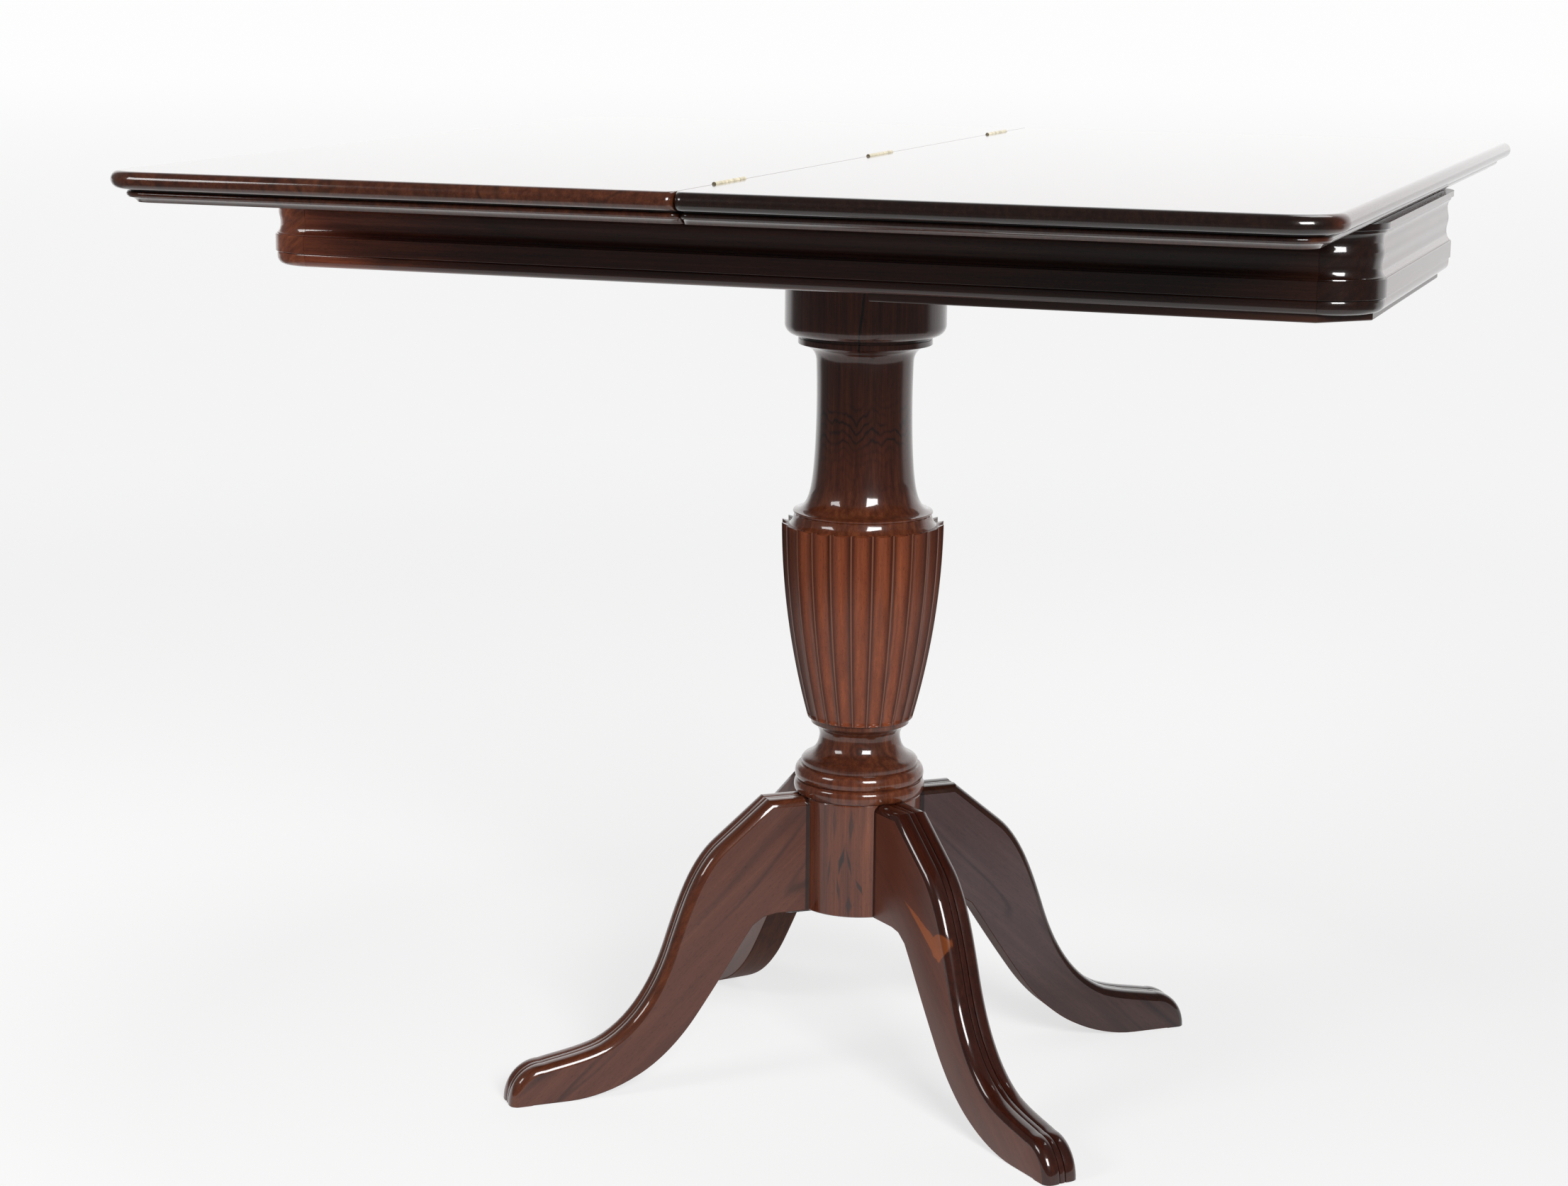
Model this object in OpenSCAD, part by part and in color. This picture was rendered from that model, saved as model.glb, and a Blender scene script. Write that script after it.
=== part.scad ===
// Fold-over table with a swivel top, on a turned column with four sabre legs.
// It is drawn open: the top is turned across the frame and the right leaf is folded out.
// X runs along the frame, Y along the seam of the open top, and Z up from the floor.
// The origin is on the floor below the middle of the open top.

/* [Top] */
// Height of the open top above the floor
table_h = 760; // [720:5:800]
// Width of one leaf, from the seam to its outer edge
leaf_w = 450; // [430:5:470]
// Length of a leaf along the seam
leaf_l = 900; // [870:5:960]
// Thickness of a leaf
leaf_t = 23; // [21:0.5:26]
// Radius of the outer corners of a leaf, seen from above
leaf_corner_r = 36; // [30:1:60]
// How far the open top sits behind the middle of the frame
top_set_back = 30; // [0:1:40]

/* [Leaf moulding] */
// Height of the rounded nose of a leaf
nose_h = 13; // [10:0.5:15]
// Depth of the groove under the nose, from the nose
groove_in = 13; // [10:0.5:15]
// Height of that groove
groove_h = 1.5; // [1:0.25:2]
// Set-back of the small bead under the groove
bead_in = 11; // [9:0.5:12]
// Height of the small bead
bead_h = 4.5; // [3.5:0.25:5]
// Set-back of the flat underside of a leaf
under_in = 19; // [17:0.5:24]

/* [Frame] */
// Overhang of the closed top past the front and back of the frame
overhang = 22; // [20:1:30]
// Overhang of the closed top past the ends of the frame
overhang_end = 10; // [6:1:26]
// Height of the frame
frame_h = 64; // [60:1:75]
// Radius of the frame corners, seen from above
frame_corner_r = 42; // [36:1:50]
// Thickness of the rails at the fascia
rail_t = 24; // [20:1:28]
// Height of the bead along the lower edge of the frame
foot_bead_h = 10.5; // [9:0.5:12]
// Set-back of that bead from the fascia
foot_bead_in = 1.2; // [0.8:0.1:3]
// Height of the flat fascia band
fascia_h = 14; // [10:0.5:15]
// Depth of the lower cove above the fascia
cove_in = 4.2; // [3.5:0.1:6]
// Set-back of the swell between the two coves
swell_in = 2.95; // [2:0.05:3.3]
// Set-back of the small fillet above the upper cove
lip_band_in = 1.6; // [1:0.1:2.5]
// Height of the flat fillet along the upper edge
crown_h = 4.7; // [3:0.1:6]
// Projection of that fillet past the fascia
crown_out = 0.3; // [0:0.1:3]

/* [Inside the frame] */
// Width of the bearer that holds the column
bearer_w = 128; // [110:2:140]
// Thickness of the bearer
bearer_t = 30; // [25:1:34]
// Thickness of the board under the storage well
well_board_t = 6; // [4:0.5:9]
// Set-back of that board from the fascia
well_board_in = 9; // [6:1:14]
// Size of the cut-off corners of that board
well_board_chamfer = 34; // [20:1:40]
// Gap between that board and the drum of the column
well_board_gap = 0.5; // [0.5:0.5:8]
// Distance of its screws from the inner faces of the rails
well_screw_in = 8; // [6:0.5:9]
// Distance of its screws from the corners
well_screw_corner = 70; // [50:1:90]
// Thickness of the partition beside the storage well
partition_t = 12; // [9:1:15]
// Height of the partition
partition_h = 60; // [45:1:60]
// Thickness of the pivot board
pivot_board_t = 20; // [16:1:22]
// Gap between the pivot board and the bearer
pivot_board_gap = 3; // [1:0.5:6]
// Width and height of the ledgers under the pivot board
ledger = 15; // [12:1:18]
// Distance of the ledger screws from the ends of the ledgers
ledger_screw_in = 18; // [10:1:22]
// Length of the ledger screws
ledger_screw_l = 30; // [22:1:32]
// Leg length of the glue blocks in the corners
glue_block = 40; // [34:1:48]
// Height of the glue blocks
glue_block_h = 38; // [24:1:48]
// Height of the glue blocks above the lower edge of the frame
glue_block_up = 2; // [0:0.5:10]

/* [Pivot] */
// Diameter of the pivot bolt
bolt_d = 10; // [8:0.5:12]
// Outer diameter of the brass bush
bush_d = 16; // [14:0.5:20]
// Diameter of the swivel plate under the fixed leaf
plate_d = 84; // [76:1:96]
// Thickness of the swivel plate
plate_t = 3; // [2:0.5:4]
// Diameter of the washer
washer_d = 30; // [24:1:36]
// Thickness of the washer
washer_t = 2; // [1.5:0.5:3]
// Height of the nut
nut_h = 8; // [6:0.5:10]
// Diameter of the flat bolt head
bolt_head_d = 22; // [18:1:26]
// Thickness of the bolt head
bolt_head_t = 3; // [2:0.5:5]
// Gap round the bolt head in the leaf
bolt_head_gap = 1; // [0.5:0.25:2]
// Width of the nuts across their corners
nut_d = 19.5; // [18:0.5:22]
// Height of the lock nut
lock_nut_h = 5; // [4:0.5:7]
// Length of the bolt past the lock nut
bolt_past = 3; // [1:0.5:6]
// Distance of the screws of the swivel plate from its edge
plate_screw_in = 10; // [9:0.5:12]
// Diameter of the stop peg
peg_d = 11; // [8:0.5:12]
// Distance from the pivot to the stop peg
peg_reach = 110; // [105:1:125]
// Length of the peg below the leaf
peg_drop = 18; // [10:1:22]
// Length of the peg inside the leaf
peg_root = 12; // [8:1:14]

/* [Hinges] */
// Number of hinges along the seam
hinge_n = 3; // [2:1:4]
// Distance from each end of the seam to the middle of the first hinge
hinge_inset = 110; // [70:5:140]
// Length of a hinge
hinge_l = 60; // [50:2:80]
// Height of the hinge plates
hinge_plate_h = 15; // [12:0.5:16]
// Thickness of the hinge plates
hinge_plate_t = 1.5; // [1.2:0.1:2]
// Diameter of the hinge knuckles
knuckle_d = 3.2; // [3:0.1:5]
// Diameter of the hinge pins
hinge_pin_d = 1.5; // [1.2:0.1:2.2]
// Diameter of the hinge screws
hinge_screw_d = 2.4; // [2:0.1:3]
// Length of the hinge screws
hinge_screw_l = 16; // [12:1:20]

/* [Column] */
// Height of the underside of the column above the floor
block_z = 142; // [130:1:155]
// Radius of the block that the legs join
block_r = 51.5; // [48:0.5:56]
// Height of the block
block_h = 95; // [88:1:105]
// Radius of the two rings above the block
ring_r = 54; // [52:0.5:60]
// Height of each ring
ring_h = 12; // [10:0.5:14]
// Radius of the lower rim of the bell
bell_r = 48; // [44:0.5:50]
// Height of that rim
bell_rim_h = 4.6; // [2:0.2:6]
// Radius of the neck below the vase
waist_r = 33.4; // [30:0.2:36]
// Height of the bell and the neck
bell_h = 35; // [32:1:40]
// Height of the lip below the vase
lip_h = 5; // [3:0.5:8]
// Set-back of the lip from the foot of the vase
lip_in = 3; // [2:0.5:4]
// Radius at the bottom of the vase
vase_low_r = 43.5; // [42:0.5:46]
// Radius at the top of the vase
vase_top_r = 66.5; // [62:0.5:70]
// Height of the vase
vase_h = 162; // [150:1:180]
// Outward swell of the vase past a straight line
vase_swell = 5.3; // [3:0.1:8]
// Number of flutes round the vase
flutes = 24; // [20:1:28]
// Radius of the gouge that cuts the flutes
flute_r = 12; // [11:0.5:14]
// Depth of a flute at the top of the vase
flute_top_d = 3.4; // [2.5:0.1:3.8]
// Depth of a flute at the bottom of the vase
flute_low_d = 1.5; // [1:0.1:2]
// Radius of the collar above the vase
collar_r = 57.5; // [55:0.5:60]
// Height of the collar
collar_h = 11; // [9:0.5:13]
// Height of the hollow under the collar
hollow_h = 5; // [4:0.5:6]
// Radius of the shaft at its thinnest
shaft_r = 39; // [36:0.5:42]
// Radius of the small ring below the drum
fillet_r = 54.5; // [50:0.5:58]
// Height of that ring
fillet_h = 4; // [3:0.5:6]
// Radius of the drum
drum_r = 65.5; // [62:0.5:70]
// Height of the drum
drum_h = 55; // [45:1:60]
// Height of the dark groove under the drum
drum_groove_h = 2.5; // [1:0.5:3]
// Radius of the rounded lower edge of the drum
drum_edge_r = 9; // [5:0.5:12]
// Radius of the round tenon on top of the column
tenon_r = 24; // [18:1:30]
// Thickness of the wedge in that tenon
wedge_t = 3; // [2:0.5:4]
// Width of that wedge
wedge_w = 38; // [20:1:40]
// Height of its tip above the underside of the bearer
wedge_up = 6; // [4:1:12]

/* [Legs] */
// Distance from the axis of the column to the tip of a toe
leg_reach = 305; // [280:5:330]
// Thickness of a leg
leg_t = 31; // [26:1:34]
// Height of the flat top of a leg
leg_top_z = 238; // [232:1:240]
// Length of that flat top past the block
leg_flat = 31.5; // [24:0.5:36]
// Height of a foot behind the toe
toe_h = 32; // [26:1:36]
// Length of the flat sole
sole_l = 42; // [34:1:50]
// How far the toe rounds under in front of the sole
toe_round = 7; // [5:0.5:10]
// Angle between a leg and the long axis of the frame
leg_angle = 40; // [36:1:50]
// Radius of the softened edges along the upper side of a leg
leg_edge = 5; // [3:0.5:6]
// Width of the dovetail at its root
dovetail_root = 12; // [10:0.5:14]
// Width of the dovetail at its tip
dovetail_tip = 19; // [15:0.5:20]
// Length of the dovetail
dovetail_l = 16; // [12:0.5:18]
// Height of the dovetail
dovetail_h = 84; // [70:1:86]
// Thickness of the iron tie plate under the column
tie_t = 2.5; // [2:0.5:4]
// Width of its arms
tie_w = 20; // [16:1:24]
// Length of an arm past the block
tie_past = 19; // [18:0.5:21]
// Radius of the middle of the tie plate
tie_hub_r = 28; // [24:1:34]
// Distance of the screw in an arm from the block
tie_screw_out = 11; // [9:0.5:12]
// Diameter of the screw in the middle of the tie plate
hub_screw_d = 6; // [5:0.5:7]
// Length of that screw
hub_screw_l = 32; // [24:1:40]
// Diameter of the wood screws
screw_d = 4; // [3:0.5:4.5]
// Length of the wood screws
screw_l = 16; // [12:1:18]

/* [Clearances] */
// Gap between the top and the frame that it turns on
slide_gap = 0.3; // [0.2:0.1:0.5]
// Gap between the two leaves
leaf_gap = 0.3; // [0.2:0.1:0.5]
// Radial clearance of pins and bolts
pin_gap = 0.05; // [0.03:0.01:0.1]
// Gap between the stop peg and what stops it
stop_gap = 0.4; // [0.2:0.1:1]

/* [Hidden] */
$fn = 64;
// How far a cut runs past the surface that it opens
cut = 1;

frame_l = leaf_l - 2*overhang_end;
frame_w = leaf_w - 2*overhang;
leaf_z = table_h - leaf_t;
frame_top = leaf_z - slide_gap;
frame_z = frame_top - frame_h;
inner_l = frame_l - 2*rail_t;
inner_w = frame_w - 2*rail_t;

// The pivot: a quarter turn about it brings the fixed leaf from beside the seam to over the frame.
pivot = [(top_set_back - leaf_w/2)/2, (top_set_back + leaf_w/2)/2];
pivot_board_top = leaf_z - plate_t - slide_gap;
nut_z = pivot_board_top - pivot_board_t - slide_gap - washer_t - nut_h;
lock_nut_z = nut_z - lock_nut_h;
bolt_z = lock_nut_z - bolt_past;
ledger_z = pivot_board_top - pivot_board_t - ledger;
// The peg lies against the back rail while the top is open, and a quarter turn later against the board.
peg_start = 180 - asin((inner_w/2 - pivot[1] - peg_d/2 - stop_gap)/peg_reach);
peg_at = pivot + peg_reach*[cos(peg_start), sin(peg_start)];
peg_closed_x = pivot[0] - peg_reach*sin(peg_start);
pivot_board_x0 = peg_closed_x + peg_d/2 + stop_gap;
pivot_board_x1 = -bearer_w/2 - pivot_board_gap;

axis_z = table_h + leaf_gap/2;
hinge_pitch = (leaf_l - 2*hinge_inset)/(hinge_n - 1);
hinge_z = table_h - knuckle_d/2 - hinge_plate_h;

block_top = block_z + block_h;
ring_top = block_top + 2*ring_h;
vase_z = ring_top + bell_h + lip_h;
vase_top = vase_z + vase_h;
collar_top = vase_top + collar_h;
drum_z = frame_z - drum_h;

leg_angles = [-leg_angle, 180 - leg_angle, 180 + leg_angle, leg_angle];

WALNUT = [0.27, 0.11, 0.06];
MAHOGANY = [0.36, 0.14, 0.07];
INSIDE = [0.55, 0.38, 0.22];
BRASS = [0.72, 0.56, 0.26];
STEEL = [0.45, 0.45, 0.46];

function arc(c, r, a0, a1, n) = [for (i = [0:n]) c + r*[cos(a0 + (a1 - a0)*i/n), sin(a0 + (a1 - a0)*i/n)]];
// Points after the first on a smooth curve from a to d, drawn towards b and c
function bez(a, b, c, d, n) =
    [for (i = [1:n]) let (t = i/n, s = 1 - t) s*s*s*a + 3*s*s*t*b + 3*s*t*t*c + t*t*t*d];
// Centre of the arc from a to b that swells by h to its right-hand side, going up
function arc_centre(a, b, h) =
    let (m = (a + b)/2, d = b - a, l = norm(d), r = (l*l/4 + h*h)/(2*h), n = [d[1], -d[0]]/l) m - (r - h)*n;

// Moulded edges

// Outline of a leaf's edge: depth in from the nose against height above the underside
function leaf_edge(depth) =
    let (r = nose_h/2, low = leaf_t - nose_h, bead_top = low - groove_h, bead_low = bead_top - bead_h)
    concat([[depth, 0], [under_in, 0]],
        bez([under_in, 0], [under_in - 1, bead_low/2], [bead_in + 3, bead_low], [bead_in + 1, bead_low], 4),
        arc([bead_in + bead_h/2, bead_low + bead_h/2], bead_h/2, 240, 120, 5),
        [[groove_in, bead_top], [groove_in, low]],
        arc([r, leaf_t - r], r, 270, 90, 12),
        [[depth, leaf_t]]);

// Outline of the frame's section: depth in from the fascia against height above its lower edge
function frame_edge(depth) =
    let (band = foot_bead_h + fascia_h, crown = frame_h - crown_h, rest = crown - band, round = 7,
        ledge = [foot_bead_in, band + 1], cove = [cove_in, band + rest*0.25], swell = [swell_in, band + rest/2],
        hollow = [cove_in, band + rest*0.76], lip = [lip_band_in, band + rest*0.94], up = [0, rest*0.1])
    concat([[depth, 0], [foot_bead_in + round, 0]],
        bez([foot_bead_in + round, 0], [foot_bead_in + round*0.4, 0],
            [foot_bead_in, round*0.4], [foot_bead_in, round], 6),
        [[foot_bead_in, foot_bead_h - 1], [foot_bead_in + 1, foot_bead_h], [0, foot_bead_h], [0, band], ledge],
        bez(ledge, ledge + [2, 1], cove - up, cove, 4),
        bez(cove, cove + up, swell - up, swell, 4),
        bez(swell, swell + up, hollow - up, hollow, 4),
        bez(hollow, hollow + up, lip + [0.8, -0.5], lip, 4),
        [[lip_band_in, crown], [-crown_out, crown], [-crown_out, frame_h], [depth, frame_h]]);

// A straight length of moulding along X, centred, with its outer face towards -Y at y = 0
module run(outline, length) {
    rotate([90, 0, 90]) translate([0, 0, -length/2]) linear_extrude(length) polygon(outline);
}

// A quarter turn of moulding with its outer face at the given radius
module turn(outline, r) {
    rotate([0, 0, 180]) rotate_extrude(angle = 90) polygon([for (p = outline) [r - p[0], p[1]]]);
}

// A leaf with its seam face on x = 0 and its moulded edge all round the other three sides
module leaf_body() {
    depth = leaf_corner_r;
    edge = leaf_edge(depth);
    core_w = leaf_w - leaf_gap/2 - depth;
    translate([0, -leaf_l/2 + depth, 0]) cube([core_w, leaf_l - 2*depth, leaf_t]);
    for (side = [0, 1]) mirror([0, side, 0]) {
        translate([core_w/2, -leaf_l/2, 0]) run(edge, core_w);
        translate([core_w, -leaf_l/2 + depth, 0]) rotate([0, 0, 90]) turn(edge, depth);
    }
    translate([core_w + depth, 0, 0]) rotate([0, 0, 90]) run(edge, leaf_l - 2*depth);
}

// From the axis of the column to the middle of the open top
module at_axis() {
    translate([0, -top_set_back, 0]) children();
}

module folding_side() {
    translate([leaf_gap/2, top_set_back, leaf_z]) children();
}

module fixed_side() {
    mirror([1, 0, 0]) folding_side() children();
}

// Fasteners

// A countersunk wood screw pointing down, its head flush with z = 0
module screw(d, l) {
    translate([0, 0, -d/2]) cylinder(h = d/2, r1 = d/2, r2 = d);
    translate([0, 0, -l]) cylinder(h = l, d = d, $fn = 24);
}

module hinge_places() {
    for (i = [0:hinge_n - 1])
        translate([0, top_set_back - leaf_l/2 + hinge_inset + i*hinge_pitch, 0]) children();
}

// Screws of one side of the hinges, driven into the leaf from its seam face
module hinge_screws() {
    hinge_places() for (y = [-1, 1]*hinge_l/3) translate([0, y, hinge_z + hinge_plate_h/2])
        translate([leaf_gap/2, 0, 0]) rotate([0, -90, 0]) screw(hinge_screw_d, hinge_screw_l);
}

// Plates of one side of the hinges, sunk in the seam face, with their share of the knuckles
module hinge_plates(first) {
    fifth = hinge_l/5;
    difference() {
        hinge_places() {
            translate([leaf_gap/2, -hinge_l/2, hinge_z])
                cube([hinge_plate_t, hinge_l, hinge_plate_h]);
            for (k = [first:2:4]) translate([0, (k - 2)*fifth, 0]) {
                rotate([90, 0, 0]) translate([0, axis_z, -fifth/2 + slide_gap/2])
                    cylinder(h = fifth - slide_gap, d = knuckle_d, $fn = 32);
                translate([leaf_gap/2, -fifth/2 + slide_gap/2, table_h - knuckle_d])
                    cube([hinge_plate_t, fifth - slide_gap, knuckle_d]);
            }
        }
        hinge_places() rotate([90, 0, 0]) translate([0, axis_z, -hinge_l])
            cylinder(h = 2*hinge_l, d = hinge_pin_d + 2*pin_gap, $fn = 32);
        hinge_screws();
    }
}

// Room in a leaf for its hinge plates and for all the knuckles
module hinge_room() {
    hinge_places() {
        translate([leaf_gap/2 - cut, -hinge_l/2, hinge_z])
            cube([hinge_plate_t + cut, hinge_l, hinge_plate_h + knuckle_d]);
        rotate([90, 0, 0]) translate([0, axis_z, -hinge_l/2 - slide_gap])
            cylinder(h = hinge_l + 2*slide_gap, d = knuckle_d + 2*slide_gap, $fn = 32);
    }
    hinge_screws();
}

// Top

module fixed_leaf() {
    color(WALNUT) at_axis() difference() {
        fixed_side() leaf_body();
        mirror([1, 0, 0]) hinge_room();
        translate([pivot[0], pivot[1], leaf_z - cut])
            cylinder(h = bolt_head_t + cut + slide_gap, d = bolt_head_d + 2*bolt_head_gap);
        translate([peg_at[0], peg_at[1], leaf_z - cut]) cylinder(h = peg_root + cut, d = peg_d);
        swivel_screws_solid();
    }
}

module folding_leaf() {
    color(WALNUT) at_axis() difference() {
        folding_side() leaf_body();
        hinge_room();
    }
}

module swivel_screws_solid() {
    r = plate_d/2 - plate_screw_in;
    for (a = [45:90:315]) translate([pivot[0] + r*cos(a), pivot[1] + r*sin(a), leaf_z - plate_t])
        rotate([180, 0, 0]) screw(screw_d, screw_l);
}

module swivel_screws() {
    color(STEEL) at_axis() swivel_screws_solid();
}

module swivel_plate() {
    color(STEEL) at_axis() difference() {
        translate([pivot[0], pivot[1], leaf_z - plate_t]) cylinder(h = plate_t, d = plate_d);
        translate([pivot[0], pivot[1], leaf_z - plate_t - cut]) cylinder(h = plate_t + 2*cut, d = bolt_d);
        swivel_screws_solid();
    }
}

module pivot_bolt() {
    color(STEEL) at_axis() {
        translate([pivot[0], pivot[1], bolt_z]) cylinder(h = leaf_z + bolt_head_t - bolt_z, d = bolt_d);
        translate([pivot[0], pivot[1], leaf_z]) cylinder(h = bolt_head_t, d = bolt_head_d);
    }
}

module pivot_washer() {
    color(STEEL) at_axis() translate([pivot[0], pivot[1], nut_z + nut_h]) difference() {
        cylinder(h = washer_t, d = washer_d);
        translate([0, 0, -cut]) cylinder(h = washer_t + 2*cut, d = bolt_d);
    }
}

module nut(z, h) {
    color(STEEL) at_axis() translate([pivot[0], pivot[1], z]) difference() {
        cylinder(h = h, d = nut_d, $fn = 6);
        translate([0, 0, -cut]) cylinder(h = h + 2*cut, d = bolt_d);
    }
}

module pivot_nut() {
    nut(nut_z, nut_h);
}

module lock_nut() {
    nut(lock_nut_z, lock_nut_h);
}

module stop_peg() {
    color(INSIDE) at_axis() translate([peg_at[0], peg_at[1], leaf_z - peg_drop])
        cylinder(h = peg_drop + peg_root, d = peg_d);
}

module fixed_hinge_plates() {
    color(BRASS) at_axis() mirror([1, 0, 0]) hinge_plates(0);
}

module fixed_hinge_screws() {
    color(BRASS) at_axis() mirror([1, 0, 0]) hinge_screws();
}

module hinge_pins() {
    color(BRASS) at_axis() hinge_places() rotate([90, 0, 0]) translate([0, axis_z, -hinge_l/2])
        cylinder(h = hinge_l, d = hinge_pin_d, $fn = 32);
}

module folding_hinge_plates() {
    color(BRASS) at_axis() hinge_plates(1);
}

module folding_hinge_screws() {
    color(BRASS) at_axis() hinge_screws();
}

// Frame

// A rail or the partition, drilled for the screws of the well board and of the ledgers
module drilled() {
    difference() {
        children();
        well_screws_solid();
        ledger_screws_solid();
    }
}

module long_rail() {
    translate([0, -frame_w/2, frame_z]) run(frame_edge(rail_t), frame_l - 2*frame_corner_r);
}

module short_rail() {
    translate([frame_l/2, 0, frame_z]) rotate([0, 0, 90]) run(frame_edge(rail_t), frame_w - 2*frame_corner_r);
}

module corner_piece() {
    translate([frame_l/2 - frame_corner_r, -frame_w/2 + frame_corner_r, frame_z])
        rotate([0, 0, 90]) turn(frame_edge(rail_t), frame_corner_r);
}

module front_rail() {
    color(MAHOGANY) at_axis() drilled() long_rail();
}

module back_rail() {
    color(MAHOGANY) at_axis() drilled() mirror([0, 1, 0]) long_rail();
}

module left_rail() {
    color(MAHOGANY) at_axis() mirror([1, 0, 0]) short_rail();
}

module right_rail() {
    color(MAHOGANY) at_axis() drilled() short_rail();
}

module corner_front_right() {
    color(WALNUT) at_axis() corner_piece();
}

module corner_front_left() {
    color(WALNUT) at_axis() mirror([1, 0, 0]) corner_piece();
}

module corner_back_right() {
    color(WALNUT) at_axis() mirror([0, 1, 0]) corner_piece();
}

module corner_back_left() {
    color(WALNUT) at_axis() mirror([1, 0, 0]) mirror([0, 1, 0]) corner_piece();
}

// Blocks glued across the joints between the corner pieces and the rails
module glue_blocks() {
    inner_r = frame_corner_r - rail_t;
    color(INSIDE) at_axis() for (sx = [0, 1], sy = [0, 1]) mirror([sx, 0, 0]) mirror([0, sy, 0])
        translate([inner_l/2, -inner_w/2, frame_z + glue_block_up]) difference() {
            linear_extrude(glue_block_h) polygon([[0, 0], [0, glue_block], [-glue_block, 0]]);
            translate([-inner_r, inner_r, -cut]) difference() {
                translate([0, -frame_corner_r, 0]) cube([frame_corner_r, frame_corner_r, glue_block_h + 2*cut]);
                translate([0, 0, -cut]) cylinder(h = glue_block_h + 4*cut, r = inner_r);
            }
        }
}

module bearer() {
    color(INSIDE) at_axis() difference() {
        translate([-bearer_w/2, -inner_w/2, frame_z]) cube([bearer_w, inner_w, bearer_t]);
        translate([0, 0, frame_z - cut]) cylinder(h = bearer_t + 2*cut, r = tenon_r);
    }
}

module partition() {
    color(INSIDE) at_axis() drilled() translate([bearer_w/2, -inner_w/2, frame_z])
        cube([partition_t, inner_w, partition_h]);
}

// Screws of the well board: two in the partition, two in the end rail and two in each long rail
module well_screws_solid() {
    end_x = inner_l/2 + well_screw_in;
    side_y = inner_w/2 + well_screw_in;
    for (x = [bearer_w/2 + partition_t/2, end_x], y = [-1, 1]*(frame_w/2 - well_screw_corner))
        translate([x, y, frame_z - well_board_t]) rotate([180, 0, 0]) screw(screw_d, screw_l);
    for (x = [bearer_w/2 + well_screw_corner, end_x - well_screw_corner], y = [-1, 1]*side_y)
        translate([x, y, frame_z - well_board_t]) rotate([180, 0, 0]) screw(screw_d, screw_l);
}

module well_screws() {
    color(BRASS) at_axis() well_screws_solid();
}

module well_board() {
    c = well_board_chamfer;
    x0 = drum_r + well_board_gap;
    x1 = frame_l/2 - well_board_in;
    y1 = frame_w/2 - well_board_in;
    color(MAHOGANY) at_axis() difference() {
        translate([0, 0, frame_z - well_board_t]) linear_extrude(well_board_t)
            polygon([[x0, -y1], [x1 - c, -y1], [x1, -y1 + c], [x1, y1 - c], [x1 - c, y1], [x0, y1]]);
        well_screws_solid();
    }
}

module pivot_board() {
    color(INSIDE) at_axis() difference() {
        translate([pivot_board_x0, -inner_w/2, pivot_board_top - pivot_board_t])
            cube([pivot_board_x1 - pivot_board_x0, inner_w, pivot_board_t]);
        translate([pivot[0], pivot[1], frame_z]) cylinder(h = frame_h, d = bush_d);
    }
}

module pivot_bush() {
    color(BRASS) at_axis() translate([pivot[0], pivot[1], pivot_board_top - pivot_board_t]) difference() {
        cylinder(h = pivot_board_t, d = bush_d);
        translate([0, 0, -cut]) cylinder(h = pivot_board_t + 2*cut, d = bolt_d + 2*pin_gap);
    }
}

module ledger_screws_solid() {
    for (s = [-1, 1], x = [pivot_board_x0 + ledger_screw_in, pivot_board_x1 - ledger_screw_in])
        translate([x, s*(inner_w/2 - ledger), ledger_z + ledger/2])
            rotate([s*90, 0, 0]) screw(screw_d, ledger_screw_l);
}

module ledger_screws() {
    color(BRASS) at_axis() ledger_screws_solid();
}

module pivot_ledgers() {
    color(INSIDE) at_axis() difference() {
        for (s = [0, 1]) mirror([0, s, 0]) translate([pivot_board_x0, inner_w/2 - ledger, ledger_z])
            cube([pivot_board_x1 - pivot_board_x0, ledger, ledger]);
        ledger_screws_solid();
    }
}

// Column

vase_a = [vase_low_r, vase_z];
vase_b = [vase_top_r, vase_top];
vase_c = arc_centre(vase_a, vase_b, vase_swell);
vase_arc_r = norm(vase_b - vase_c);

function vase_curve(n) =
    let (a0 = atan2(vase_a[1] - vase_c[1], vase_a[0] - vase_c[0]),
        a1 = atan2(vase_b[1] - vase_c[1], vase_b[0] - vase_c[0]))
    arc(vase_c, vase_arc_r, a0, a1, n);

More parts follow.
